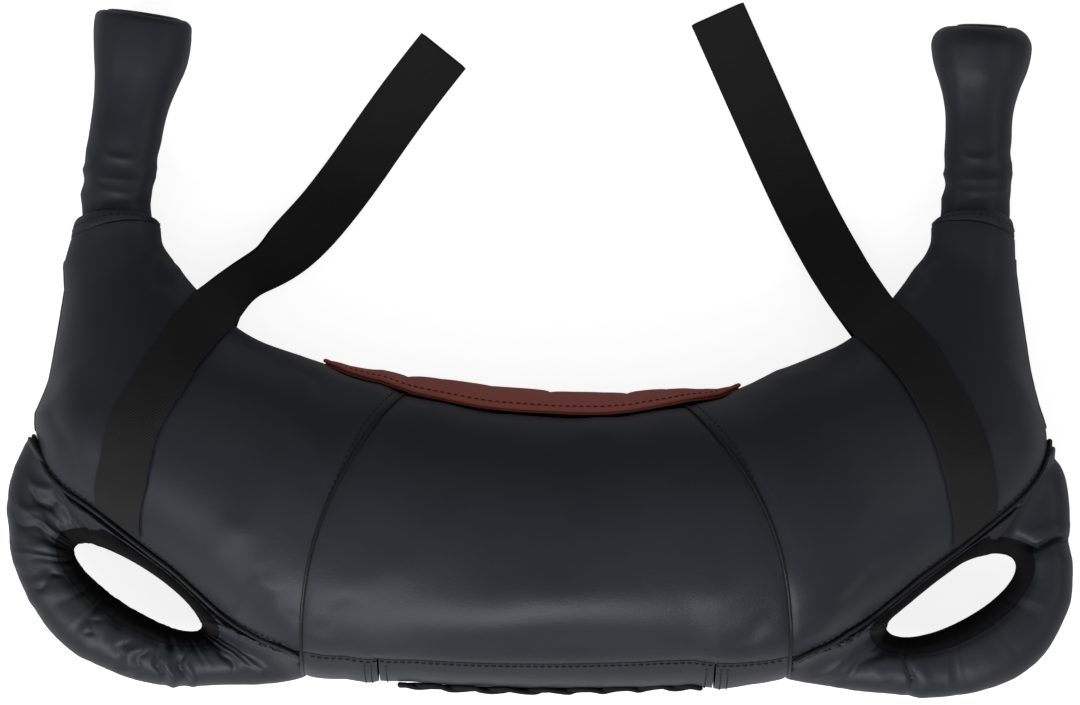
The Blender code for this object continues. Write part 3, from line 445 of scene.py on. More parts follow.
body = {
    "halfWidth": 0.325, "rise": 0.287, "frontRise": 0.095, "backDrop": 0.072, "sideLift": 0.005,
    "restCut": 0.002, "restShare": 0.334, "collarRadius": 0.0255, "gripHeight": 0.0304, "skin": 0.002,
    "t": [0.0, 0.09, 0.18, 0.27, 0.36, 0.45, 0.54, 0.63, 0.72, 0.80, 0.87, 0.93, 1.0],
    "inner": [
        (0.0, 0.621), (0.105, 0.626), (0.189, 0.638), (0.251, 0.645), (0.326, 0.655), (0.405, 0.681),
        (0.480, 0.708), (0.544, 0.740), (0.597, 0.785), (0.6435, 0.838), (0.681, 0.894), (0.709, 0.940),
    ],
    "outer": [
        (0.0, 0.0), (0.158, 0.004), (0.311, 0.019), (0.456, 0.055), (0.597, 0.153), (0.715, 0.268),
        (0.818, 0.3596), (0.889, 0.421), (0.934, 0.489), (0.951, 0.557), (0.934, 0.655), (0.911, 0.805),
    ],
    "collar": (0.806, 1.0),
    "bow": [0.0, 0.0225, 0.043, 0.064, 0.0675, 0.064, 0.056, 0.051, 0.045, 0.036, 0.024, 0.013, 0.005],
    "front": [1.0, 0.995, 0.98, 0.945, 0.895, 0.83, 0.76, 0.68, 0.59, 0.505, 0.43, 0.355],
    "back": [1.0, 0.995, 0.98, 0.945, 0.895, 0.83, 0.765, 0.695, 0.615, 0.54, 0.475, 0.415],
    "lift": [0.0, 0.0, 0.05, 0.5, 0.9, 1.0, 1.0, 1.0, 1.0, 1.0, 1.0, 1.0],
    "wall": [0.05, 0.05, 0.05, 0.08, 0.36, 0.46, 0.48, 0.46, 0.36, 0.012, 0.012, 0.012, 0.012],
    "frontPower": [2.3] * 9 + [2.25, 2.2, 2.1, 2.0],
    "backPower": [3.2] * 8 + [3.0, 2.7, 2.5, 2.2, 2.0],
    "sideSeam": 0.27, "flapEnd": 0.18, "hem": 0.984, "padMiddle": -0.030, "padEnd": 0.428, "padTip": 0.430,
    "padFront": 0.128, "padBack": 0.30, "padPoint": 0.6, "gussetFront": (0.813, 0.021), "gussetBack": 0.80,
    "cornerEnd": 0.38, "mouthTilt": (0.0062, 0.0020), "mouth": (0.93, 1.0), "mouthRoom": 0.05,
}


def plan(shares):
    # a place on plan in metres from shares of the half width and of the body's rise
    shares = np.asarray(shares, float)
    x, y = shares[..., 0] * body["halfWidth"], (shares[..., 1] - body["restShare"]) * body["rise"]
    return np.stack([x, y], -1)


def mirrored(values, flip=1.0):
    values = np.asarray(values, float)
    return np.concatenate([values[:0:-1] * flip, values])


collarPlace = plan(body["collar"])
collarReach = np.array([body["collarRadius"], 0.0])
skinTables = {
    "t": mirrored(body["t"], -1.0),
    "inner": mirrored(np.vstack([plan(body["inner"]), collarPlace - collarReach]), np.array([-1.0, 1.0])),
    "outer": mirrored(np.vstack([plan(body["outer"]), collarPlace + collarReach]), np.array([-1.0, 1.0])),
    "bow": mirrored(np.array(body["bow"]) * body["halfWidth"], -1.0),
    "front": mirrored([*(np.array(body["front"]) * body["frontRise"]), body["collarRadius"]]),
    "back": mirrored([*(np.array(body["back"]) * body["backDrop"]), body["collarRadius"]]),
    "lift": mirrored([*(np.array(body["lift"]) * body["sideLift"]),
                      body["gripHeight"] - body["collarRadius"] + body["restCut"]]),
    "wall": mirrored(body["wall"]),
    "frontPower": mirrored(body["frontPower"]),
    "backPower": mirrored(body["backPower"]),
}


# How the bag lies, in metres: the inner edge and the belly move along Y, the outer edges along X, and the corners
# beside the hand loops move inwards

sag = {
    "innerX": [-0.235, -0.226, -0.212, -0.20, -0.18, -0.16, -0.14, -0.12, -0.10, -0.08, -0.04, 0.0, 0.035, 0.06,
               0.085, 0.105, 0.125, 0.14, 0.17, 0.2],
    "inner": [0, 0.0035, 0.0042, 0.0034, 0.0042, 0.0054, 0.0055, 0.0045, 0.0055, 0.0025, 0.0012, 0, -0.003,
              -0.0043, -0.0043, -0.0055, -0.0036, -0.0012, -0.0006, 0],
    "rightY": [0.05, 0.075, 0.10, 0.13, 0.16, 0.18, 0.20],
    "right": [0, -0.0040, -0.0048, -0.0038, -0.0028, 0, 0.001],
    "leftY": [0.045, 0.06, 0.0745, 0.085, 0.095, 0.15, 0.165, 0.18, 0.2],
    "left": [0, 0.0015, 0.0040, 0.0018, 0, 0, 0.003, 0.001, 0],
    "bellyX": [-0.18, -0.148, -0.135, -0.122, -0.108, -0.092, -0.08, 0.07, 0.088, 0.103, 0.125, 0.137, 0.148,
               0.18],
    "belly": [0, -0.0050, -0.0024, 0.0, -0.0006, 0.0018, 0.0032, 0.0030, 0.0015, -0.0035, -0.0042, -0.0060,
              -0.0083, 0],
    "cornerT": [0.27, 0.32, 0.37, 0.42, 0.48, 0.54, 0.60, 0.66, 0.72, 0.78],
    "leftCorner": [0, -0.0006, 0.0031, 0.0039, 0.0030, 0.0030, 0.0031, 0.0004, -0.0012, -0.0003],
    "rightCorner": [0, -0.0022, 0.0013, 0.0006, -0.0010, -0.0010, 0.0, 0.0004, 0.0010, 0.0024],
}


def lieOf(flat, across):
    # flat places moved to how the bag lies; the shift fades over the section towards its other edge
    inward, outward = np.clip(1.0 - across, 0.0, 1.0) ** 1.5, softStep(across, 0.3, 0.95)
    moved = flat.copy()
    moved[..., 1] += np.interp(flat[..., 0], sag["innerX"], sag["inner"]) * inward
    belly = np.interp(flat[..., 0], sag["bellyX"], sag["belly"]) * (flat[..., 1] < 0)
    moved[..., 1] += belly * softStep(across, 0.6, 1.0)
    right = np.interp(flat[..., 1], sag["rightY"], sag["right"]) * softStep(flat[..., 0], 0.1, 0.2)
    left = -np.interp(flat[..., 1], sag["leftY"], sag["left"]) * softStep(-flat[..., 0], 0.1, 0.2)
    moved[..., 0] += (right + left) * outward
    return moved


def along(name, t):
    return curveThrough(skinTables["t"], skinTables[name], t)


def gussetLine(t):
    base, rise = body["gussetFront"]
    return base + rise * np.minimum(np.abs(t) / body["sideSeam"], 1.0) ** 2


def cornerShares(t):
    # the share of a half section that the side panels keep: their corners run into the belly's two long seams
    size = np.abs(t)
    fade = (size > body["sideSeam"]) * (1.0 - softStep(size, body["sideSeam"], body["cornerEnd"]))
    return 1.0 - fade * (1.0 - sum(body["gussetFront"])), 1.0 - fade * (1.0 - body["gussetBack"])


def baseSkin(t, q):
    # a superellipse section between the inner and outer outline: q 0 to 1 is the front, 1 to 2 the outer wall
    # and 2 to 3 the back, and the section is cut off upright where it meets the wall
    t, q = np.broadcast_arrays(np.asarray(t, float), np.asarray(q, float))
    inner, outer = along("inner", t), along("outer", t)
    chord = unit(outer - inner)
    aside = np.stack([-chord[..., 1], chord[..., 0]], axis=-1)
    front, back = along("front", t), along("back", t)
    frontPower, backPower = along("frontPower", t), along("backPower", t)
    wall = np.maximum(along("wall", t), min(body["wall"]))

    def sectionAt(u, low):
        bend = 2.0 / np.where(low, backPower, frontPower)
        last = math.pi - np.arcsin(wall ** (1.0 / bend))
        angle = last * np.clip(u, 0.0, 1.0)
        reach = (1.0 - signedPower(np.cos(angle), bend)) / (1.0 - signedPower(np.cos(last), bend))
        return reach, np.where(low, -back, front) * np.sin(angle) ** bend

    keepFront, keepBack = cornerShares(t)
    below = (q < 0) | (q >= 2)
    u = np.clip(np.where(q < 0, -q, np.where(q < 2, q, 3.0 - q)), 0.0, 1.0)
    u = u - (1.0 - np.where(below, keepBack, keepFront)) * u ** 4
    across, height = sectionAt(u, below)
    down = np.clip(q - 1.0, 0.0, 1.0)
    frontCorner, backCorner = sectionAt(keepFront, False), sectionAt(keepBack, True)
    onWall = (q > 1) & (q < 2)
    across = np.where(onWall, (1 - down) * frontCorner[0] + down * backCorner[0], across)
    height = np.where(onWall, (1 - down) * frontCorner[1] + down * backCorner[1], height)
    bow = along("bow", t) * 4.0 * across * (1.0 - across)
    flat = lieOf(inner + (outer - inner) * across[..., None] + aside * bow[..., None], across)
    corners = [curveThrough(sag["cornerT"], sag[name], np.abs(t)) for name in ("leftCorner", "rightCorner")]
    drawn = np.where(t < 0, *corners) * softStep(across, 0.45, 1.0)
    flat = flat - chord * drawn[..., None]
    nearMouth = softStep(np.abs(t), *body["mouth"])
    tilt = np.where(height > 0, *body["mouthTilt"]) * nearMouth
    flat[..., 1] += tilt * height / body["collarRadius"]
    height = height * (1.0 + body["mouthRoom"] * nearMouth)
    middle = back + along("lift", t) - body["restCut"]
    return np.concatenate([flat, np.maximum(middle + height, 0.0)[..., None]], axis=-1)


def metresPerT(t, q, step=0.001):
    # how many metres of skin one unit of t spans
    return np.linalg.norm(baseSkin(t + step, q) - baseSkin(t - step, q), axis=-1) / (2 * step)


def baseNormal(t, q):
    # square to the skin, with both steps kept on one side of the side seams, where the corners jump
    step, edge = 0.0012, body["sideSeam"]
    t, q = np.broadcast_arrays(np.asarray(t, float), np.asarray(q, float))
    around = baseSkin(t, q + step) - baseSkin(t, q - step)
    inLow = np.where(t < -edge, t - step, np.maximum(t - step, -edge))
    inHigh = np.where(t > edge, t + step, np.minimum(t + step, edge))
    low = np.where(t > edge, np.maximum(t - step, edge + 1e-6), inLow)
    high = np.where(t < -edge, np.minimum(t + step, -edge - 1e-6), inHigh)
    return unit(np.cross(around, baseSkin(high, q) - baseSkin(low, q)))


def padReach(t):
    # how far the neck pad reaches over the front; the reach on the back is padBack / padFront times as far
    share = np.maximum(1.0 - ((t - body["padMiddle"]) / body["padTip"]) ** 2, 0.0)
    return body["padFront"] * share ** body["padPoint"]


# Soft relief of the skin: seams pulled in, puckers beside them, and long folds at set places

relief = {
    "pull": 0.0020, "pullWidth": 0.0032, "sink": 0.0016, "sinkWidth": 0.013,
    "pucker": 0.00065, "puckerPitch": 0.013, "puckerReach": 0.024, "puckerDepth": 0.02, "puckerStart": 0.005,
    "lump": 0.0014, "lumpSize": 0.075, "ripple": 0.0008, "rippleSize": 0.032, "sway": 0.002, "sways": 7.0,
    "seamLine": 0.0004, "seamLineAt": 0.0052, "seamLineWidth": 0.0011, "edgeLine": 0.0004, "edgeLineWidth": 0.003,
    "pixel": 0.00061, "middle": (546.0, 535.0), "edgeCalm": 0.009, "hemCalm": 0.010,
    "floor": 0.0002, "insideFloor": 0.0012,
}

# Folds over the front, placed in steps of one pixel: start, end, half width, height in mm (minus for a crease)
frontFolds = [
    (222, 612, 262, 566, 7, -1.5), (240, 625, 285, 590, 8, -1.2), (205, 560, 250, 520, 16, 1.3),
    (230, 640, 288, 640, 6, 1.0), (262, 560, 280, 610, 9, 1.1), (90, 470, 140, 520, 16, 1.2),
    (60, 330, 90, 470, 14, 1.0), (50, 400, 80, 470, 8, -0.9), (178, 292, 150, 270, 8, -1.0),
    (190, 270, 160, 262, 6, 0.9), (245, 345, 300, 372, 9, 1.0), (280, 352, 330, 392, 6, -0.9),
    (330, 590, 420, 560, 22, 1.2), (320, 630, 360, 600, 10, -1.2), (420, 640, 660, 640, 14, -1.0),
    (430, 600, 660, 600, 26, 1.0), (700, 600, 780, 560, 20, 1.2), (730, 640, 785, 610, 9, -1.0),
    (810, 640, 860, 560, 14, 1.0), (830, 600, 890, 560, 8, -0.9), (860, 330, 835, 380, 8, -0.8),
    (905, 300, 935, 285, 7, 0.9), (915, 265, 940, 258, 6, -1.0), (1010, 330, 1030, 450, 14, 1.0),
    (960, 470, 1010, 420, 12, 0.9), (745, 395, 800, 372, 7, 0.8), (300, 420, 330, 470, 14, 0.8),
]


def seamDistances(t, q, points):
    # for each seam: the distance to its point with the same q or t, its strength, and the run along it
    size = np.abs(t)
    side = np.where(t < 0, -1.0, 1.0)
    onMiddle = 1.0 - softStep(size, body["sideSeam"] - 0.01, body["sideSeam"] + 0.004)
    pastPad = softStep(np.abs(t - body["padMiddle"]), body["padTip"] - 0.03, body["padTip"])
    seam = side * np.where(size > body["sideSeam"], body["sideSeam"] + 1e-6, body["sideSeam"])

    def apart(tSeam, qSeam):
        return np.linalg.norm(points - baseSkin(tSeam, qSeam), axis=-1)

    inFlap = 1.0 - softStep(size, body["flapEnd"] - 0.01, body["flapEnd"] + 0.004)
    gusset = (q > gussetLine(t) - 0.03) & (q < 3.03 - body["gussetBack"])
    return [
        (apart(seam, q), 0.55 * np.ones_like(t), q),
        (apart(side * body["flapEnd"], q), gusset * 0.35, q),
        (apart(t, gussetLine(t)), onMiddle * 0.6, t),
        (apart(t, 3.0 - body["gussetBack"]), onMiddle * 0.6, t),
        (apart(t, 1.5), inFlap * 0.5, t),
        (apart(t, 0.0), pastPad, t),
        (apart(t, padReach(t)), 1.0 - pastPad, t),
        (apart(t, -padReach(t) * body["padBack"] / body["padFront"]), 1.0 - pastPad, t),
    ]


def foldRelief(points, folds):
    # each fold is a soft ridge or crease round a line on plan, faded out at both ends
    centre = np.array(relief["middle"])
    total = np.zeros(points.shape[:-1])
    for x0, y0, x1, y1, width, height in folds:
        start = (np.array([x0, y0]) - centre) * relief["pixel"] * [1, -1]
        end = (np.array([x1, y1]) - centre) * relief["pixel"] * [1, -1]
        run = end - start
        length = np.linalg.norm(run)
        run = run / length
        away = points[..., :2] - start
        share = (away @ run) / length
        off = away @ np.array([-run[1], run[0]]) + relief["sway"] * np.sin(relief["sways"] * share)
        fade = softStep(share, -0.25, 0.25) * (1.0 - softStep(share, 0.75, 1.25))
        total += height * 0.001 * fade * bump(off, width * relief["pixel"])
    return total


def skinRelief(t, q, points):
    # metres to raise the skin: slow lumps and ripples, folds on the front, and a pulled-in line at each seam
    total = relief["lump"] * softNoise(points, relief["lumpSize"], 3)
    total += relief["ripple"] * softNoise(points, relief["rippleSize"], 8)
    front = (q >= 0) & (q <= 1.0)
    total += np.where(front, foldRelief(points, frontFolds), 0.0) * (1.0 - softStep(q, 0.9, 1.0))
    for k, (distance, weight, run) in enumerate(seamDistances(t, q, points)):
        line = run * body["halfWidth"] / relief["puckerPitch"]
        place = np.stack([line, distance / relief["puckerDepth"], 0.0 * t + 7.7 * k], -1)
        ruck = softNoise(place, 1.0, 20 + k) * np.exp(-distance / relief["puckerReach"])
        ruck *= softStep(distance, 0.0, relief["puckerStart"]) * relief["pucker"]
        pull = relief["pull"] * bump(distance, relief["pullWidth"])
        pull = pull + relief["sink"] * bump(distance, relief["sinkWidth"])
        total += weight * (ruck - pull)
    size = np.abs(t)
    metre = metresPerT(t, q, 0.002)
    beside = (size - body["sideSeam"]) * metre - relief["seamLineAt"]
    total -= relief["seamLine"] * bump(beside, relief["seamLineWidth"]) * ((q < 1) | (q > 2))
    outward = softStep(size, body["sideSeam"], body["sideSeam"] + 0.01)
    edge = np.linalg.norm(points - baseSkin(t, np.where(q < 1.5, 1.0, 2.0)), axis=-1)
    hem = (body["hem"] - size) * metre
    calm = (1.0 - outward * bump(edge, relief["edgeCalm"])) * softStep(hem, -0.002, relief["hemCalm"])
    return total * calm - relief["edgeLine"] * outward * bump(edge, relief["edgeLineWidth"])


def softSkin(t, q, lift=0.0):
    # the finished skin, raised along its base normal, never below the floor
    t, q = np.broadcast_arrays(np.asarray(t, float), np.asarray(q, float))
    points = baseSkin(t, q)
    normal = baseNormal(t, q)
    rise = skinRelief(t, q, points) + lift
    made = points + normal * rise[..., None]
    made[..., 2] = np.maximum(made[..., 2], relief["floor"] + np.maximum(lift, 0.0))
    return made, normal


def sheetOnSkin(name, t, q):
    # a leather panel over rows of t and values of q, with its thickness inwards
    outside, normal = softSkin(t[:, None], q)
    inside = outside - normal * body["skin"]
    inside[..., 2] = np.maximum(inside[..., 2], relief["insideFloor"])
    return shell(name, outside, inside, looks["bodyLeather"])


# Body panels

panelValues = {
    "cell": 0.0026, "gap": 0.00035, "frontEase": 1.15, "backEase": 1.6, "innerFront": 0.0016, "innerBack": 0.0012,
    "edgeGaps": 1.2, "centerFront": 76, "centerBack": 70, "sideFront": 80, "sideBack": 76, "strip": 34, "flap": 18,
    "slit": (1.46, 1.54),
}


def easedLines(low, high, count, power):
    # count values of q from low to high for each row, closer together towards the inner edge
    share = np.linspace(0.0, 1.0, count)
    a, b = np.maximum(low, 1e-6) ** (1 / power), np.maximum(high, 1e-6) ** (1 / power)
    return (a[:, None] * (1 - share) + b[:, None] * share) ** power


def tLines(start, stop):
    # values of t about one cell apart, measured along the middle of the front
    fine = np.linspace(start, stop, 400)
    middle = baseSkin(fine, 0.6)
    run = runAlong(middle)
    count = max(int(run[-1] / panelValues["cell"]), 8)
    return np.interp(np.linspace(0.0, run[-1], count + 1), run, fine)


def qGap(t):
    # half a seam's gap as a share of q
    girth = np.linalg.norm(along("outer", t) - along("inner", t), axis=-1) + along("front", t)
    return panelValues["gap"] / girth


tGap = panelValues["gap"] / body["halfWidth"]
backPad = body["padBack"] / body["padFront"]
frontEase, backEase = panelValues["frontEase"], panelValues["backEase"]
t = tLines(-body["sideSeam"] + tGap, body["sideSeam"] - tGap)
q = easedLines(padReach(t) + qGap(t), gussetLine(t) - qGap(t), panelValues["centerFront"], frontEase)
low = backPad * padReach(t) + qGap(t)
u = easedLines(low, body["gussetBack"] - qGap(t), panelValues["centerBack"], backEase)
panels = {
    "front_center_panel": sheetOnSkin("centerFrontLeather", t, q),
    "back_center_panel": sheetOnSkin("centerBackLeather", t, 3.0 - u),
}
for side, sign in sides.items():
    t = sign * tLines(body["sideSeam"] + tGap, body["hem"])
    edge = 1.0 - panelValues["edgeGaps"] * qGap(t)
    inset = np.where(np.abs(t - body["padMiddle"]) < body["padTip"], padReach(t) + qGap(t), 0.0)
    q = easedLines(np.maximum(inset, panelValues["innerFront"]), edge, panelValues["sideFront"], frontEase)
    panels[f"front_{side}_panel"] = sheetOnSkin(f"{side}FrontLeather", t, q)
    inset = backPad * padReach(t) + qGap(t)
    u = easedLines(np.maximum(inset, panelValues["innerBack"]), edge, panelValues["sideBack"], backEase)
    panels[f"back_{side}_panel"] = sheetOnSkin(f"{side}BackLeather", t, 3.0 - u)
    t = sign * tLines(body["flapEnd"] + tGap, body["sideSeam"] - tGap)
    strip = between(gussetLine(t) + qGap(t), 3.0 - body["gussetBack"] - qGap(t), panelValues["strip"])
    panels[f"bottom_{side}_strip"] = sheetOnSkin(f"{side}BottomLeather", t, strip)
t = tLines(-body["flapEnd"] + tGap, body["flapEnd"] - tGap)
slitFront, slitBack = (line + 0.0 * t for line in panelValues["slit"])
for node, name, low, high in (
    ("closure_front_flap", "frontFlapLeather", gussetLine(t) + qGap(t), slitFront),
    ("closure_back_flap", "backFlapLeather", slitBack, 3.0 - body["gussetBack"] - qGap(t)),
):
    panels[node] = sheetOnSkin(name, t, between(low, high, panelValues["flap"]))
for node, piece in panels.items():
    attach(piece, "bag")
    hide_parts(node)
print("panels made")


# The strips behind the hand loops and the hems of the collars

endWallValues = {"margin": 0.04, "end": 0.785, "steps": 16}
hemValues = {
    "rows": [0.972, 0.981, 0.9845, 0.9855, 0.988, 0.992, 0.996, 0.9985, 1.0], "steps": 96,
    "swell": [-0.0024, -0.0026, -0.0018, -0.0006, -0.0002, -0.0001, -0.0002, -0.0005, -0.0010],
    "thickness": 0.0009, "ruck": 0.0003, "ruckSize": 0.012, "floor": 0.0003,
}
for side, sign in sides.items():
    t = sign * tLines(body["sideSeam"] + 0.2 * tGap, endWallValues["end"])
    q = 1.0 + np.linspace(endWallValues["margin"], 1.0 - endWallValues["margin"], endWallValues["steps"])
    piece = sheetOnSkin(f"{side}WallLeather", t, q[None])
    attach(piece, "bag")
    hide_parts(f"{side}_end_wall")
    t = sign * np.array(hemValues["rows"])
    half = np.linspace(0.0, 1.0, hemValues["steps"])
    around = np.concatenate([half, 3.0 - half[::-1][:-1]])
    base, normal = baseSkin(t[:, None], around), baseNormal(t[:, None], np.clip(around, 0.004, 2.996))
    swell = np.array(hemValues["swell"])[:, None] + hemValues["ruck"] * softNoise(base, hemValues["ruckSize"], 31)
    outside = base + normal * swell[..., None]
    outside[..., 2] = np.maximum(outside[..., 2], hemValues["floor"])
    inside = outside - normal * hemValues["thickness"]
    inside[..., 2] = np.maximum(inside[..., 2], relief["insideFloor"])
    piece = shell(f"{side}HemLeather", outside, inside, looks["bodyLeather"], closedColumns=True)
    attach(piece, "bag")
    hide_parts(f"{side}_collar_hem")


# Pipings and welts

trimValues = {
    "piping": 0.0014, "welt": 0.0010, "around": 14, "edge": (0.80, 0.97),
    "corner": {"left": (0.2706, 0.790), "right": (0.2706, 0.772)},
    "out": 0.0002, "apart": {"front": 0.0006, "back": -0.0006}, "wander": 0.0004, "wanderSize": 0.02,
    "girth": 0.06, "girthPitch": 0.004, "edgeIn": -0.0004, "sideRise": 0.0005, "padRoom": 0.012, "sideEnd": 1.4,
}


def besideEdge(t, q, reach):
    # points beside the outer edge, out by reach square to its outline on plan
    step, low = 0.0015, body["sideSeam"] + 1e-6
    before = np.where(t > 0, np.maximum(t - step, low), t - step)
    after = np.where(t < 0, np.minimum(t + step, -low), t + step)
    ahead = (baseSkin(after, 1.5) - baseSkin(before, 1.5))[..., :2]
    out = unit(np.stack([ahead[..., 1], -ahead[..., 0]], -1)) * reach
    return baseSkin(t, q) + np.concatenate([out, 0.0 * out[..., :1]], -1)


def cordAlong(name, path, normals, radius, look, seed, node, squash=1.0):
    # a cord with small changes of girth along it
    run = runAlong(path)[:, None]
    angle = turnAngles(trimValues["around"])
    place = together(run / trimValues["girthPitch"], np.cos(angle), np.sin(angle) + seed)
    girth = radius * (1.0 + trimValues["girth"] * softNoise(place, 1.0, seed))
    rings = tubePoints(path, normals, girth, len(angle), squash)
    piece = cappedTube(name, rings, look, together(angle * radius, run))
    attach(piece, "bag")
    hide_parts(node)


for side, sign in sides.items():
    t = sign * np.linspace(*trimValues["corner"][side], 190)
    up = np.tile([0.0, 0.0, 1.0], (len(t), 1))
    for corner, q in (("front", 1.0), ("back", 2.0)):
        path = besideEdge(t, q, trimValues["piping"] + trimValues["out"])
        wander = trimValues["wander"] * softNoise(path, trimValues["wanderSize"], 33)
        path[:, 2] += trimValues["apart"][corner] + wander
        cordAlong(f"{side}Piping{corner}", path, up, trimValues["piping"], looks["trimLeather"],
                  seed=34, node=f"{side}_corner_{corner}_piping")
    t = sign * np.linspace(*trimValues["edge"], 50)
    path = besideEdge(t, 1.5, trimValues["edgeIn"])
    cordAlong(f"{side}EdgeWelt", path, up[:50], trimValues["welt"], looks["bodyLeather"],
              seed=35, node=f"{side}_edge_welt")
    q = np.linspace(padReach(sign * body["sideSeam"]) + trimValues["padRoom"], trimValues["sideEnd"], 220)
    path, normal = softSkin(sign * body["sideSeam"], q, trimValues["sideRise"])
    cordAlong(f"{side}SideWelt", path, normal, trimValues["welt"], looks["trimLeather"],
              seed=36, node=f"{side}_front_seam_welt")
print("trim made")


# Neck pad: a quilted roll with a sewn-on edge strip at the front and back

padValues = {
    "dips": [-0.458, -0.282, -0.19, -0.09, 0.006, 0.139, 0.235, 0.32, 0.398],
    "depths": [0.0, 1.0, 0.25, 0.3, 0.9, 1.0, 0.4, 0.2, 0.0],
    "rise": 0.0048, "crown": 0.0026, "crownPower": 0.6, "swellPower": 0.75, "rows": 300, "columns": 56,
    "ruck": 0.0005, "ruckSize": 0.018, "fan": 0.0006, "fanPlace": (9.0, 1.5), "edgeGaps": 1.5,
    "strip": 0.0022, "stripRise": 0.0007, "stripSquash": 0.62, "stripSteps": 320,
}


def padPhase(t):
    # which quilted channel t lies in, counted from the first sewn dip
    return np.interp(t, padValues["dips"], np.arange(len(padValues["dips"])))


def padQuilt(t, share):
    # height of the quilting: rounded channels between sewn dips, drawn down along both long edges
    depth = np.interp(t, padValues["dips"], padValues["depths"])
    channel = 1.0 - depth * (1.0 - np.abs(np.sin(math.pi * padPhase(t))) ** padValues["crownPower"])
    swell = np.sin(math.pi * share) ** padValues["swellPower"] * (padReach(t) / body["padFront"])
    return (padValues["rise"] + padValues["crown"] * channel) * swell


t = body["padMiddle"] + np.linspace(-body["padEnd"], body["padEnd"], padValues["rows"])[:, None]
share = np.linspace(0.0, 1.0, padValues["columns"])
edge = padValues["edgeGaps"] * qGap(t[:, 0])[:, None]
q = (edge - backPad * padReach(t)) * (1 - share) + (padReach(t) - edge) * share
base, normal = baseSkin(t, q), baseNormal(t, q)
ruck = padValues["ruck"] * softNoise(base, padValues["ruckSize"], 41)
lift = padQuilt(t, share) + ruck * np.sin(math.pi * share)
fanAcross, fanAlong = padValues["fanPlace"]
fan = softNoise(together(share * fanAcross, padPhase(t) * fanAlong, 0.0 * share), 1.0, 43)
lift = lift + padValues["fan"] * fan * np.abs(np.cos(math.pi * padPhase(t))) ** 3 * np.sin(math.pi * share)
outside = base + normal * lift[..., None]
neckPad = shell("neckPadLeather", outside, base - normal * body["skin"], looks["neckLeather"])
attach(neckPad, "bag")
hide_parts("neck_pad")
t = body["padMiddle"] + np.linspace(-body["padEnd"], body["padEnd"], padValues["stripSteps"])
for edgeName, q in (("front", padReach(t)), ("back", -backPad * padReach(t))):
    normal = baseNormal(t, q)
    path = baseSkin(t, q) + normal * padValues["stripRise"]
    cordAlong(f"neckPadStrip{edgeName}", path, normal, padValues["strip"], looks["neckLeather"],
              squash=padValues["stripSquash"], seed=44, node=f"neck_pad_{edgeName}_welt")
print("neck pad made")


# Lace over the closing slit

laceValues = {
    "radius": 0.0018, "reach": 0.0030, "length": 0.177, "crossings": 8, "steps": 26, "raise": 0.0126,
    "over": 0.9, "sunk": 0.0006, "wander": (0.0035, 2.3, 0.6), "evening": 6, "squash": 0.9,
}


def lacePoints(t, sway, rise):
    # points at t, swayed across the slit by a share of reach, rise above the skin
    slit, top = baseSkin(t, 1.5), baseSkin(t, 1.0)[..., 2]
    shift = sway * laceValues["reach"] + laceValues["raise"]
    half = top - slit[..., 2]
    girth = 2 * qGap(t) / (2 * panelValues["gap"])
    beyond = (np.abs(shift) - half) * girth
    q = np.where(shift > half, 1.0 - beyond, np.where(shift < -half, 2.0 + beyond, 1.5))
    points = baseSkin(t, q) + baseNormal(t, np.clip(q, 0.9, 2.1)) * rise[..., None]
    points[..., 2] = np.where(np.abs(shift) <= half, slit[..., 2] + shift, points[..., 2])
    return points


middle = np.arange(laceValues["crossings"] * laceValues["steps"] + 1) / laceValues["steps"] * math.pi
halfLace = laceValues["length"] / 2
tEnd = np.interp(halfLace, skinTables["outer"][:, 0], skinTables["t"])
t = -tEnd + 2 * tEnd * middle / middle[-1]
wander, waves, start = laceValues["wander"]
t = t + wander * np.sin(waves * middle + start) * (1 - (t / tEnd) ** 2)
over, base = laceValues["over"] * laceValues["radius"], laceValues["radius"] - laceValues["sunk"]
going = lacePoints(t, np.cos(middle), base + over * np.maximum(np.sin(middle), 0.0) ** 2)
coming = lacePoints(t, -np.cos(middle), base + over * np.maximum(-np.sin(middle), 0.0) ** 2)
turn = np.linspace(0.0, math.pi, 24)[1:-1]
tBend = tEnd + np.sin(turn) * laceValues["reach"] / body["halfWidth"]
path = np.concatenate([going, lacePoints(tBend, np.cos(turn), base + 0.0 * turn), coming[::-1]])
for _ in range(laceValues["evening"]):
    path[1:-1] = 0.5 * path[1:-1] + 0.25 * (path[2:] + path[:-2])
outwards = np.tile([0.0, -1.0, 0.05], (len(path), 1))
cordAlong("lace", path, outwards, laceValues["radius"], looks["lace"], squash=laceValues["squash"],
          seed=51, node="closure_lace")
print("lace made")


# Straps: one band for each side, sewn to the front, folded at its free tip and sewn to the back

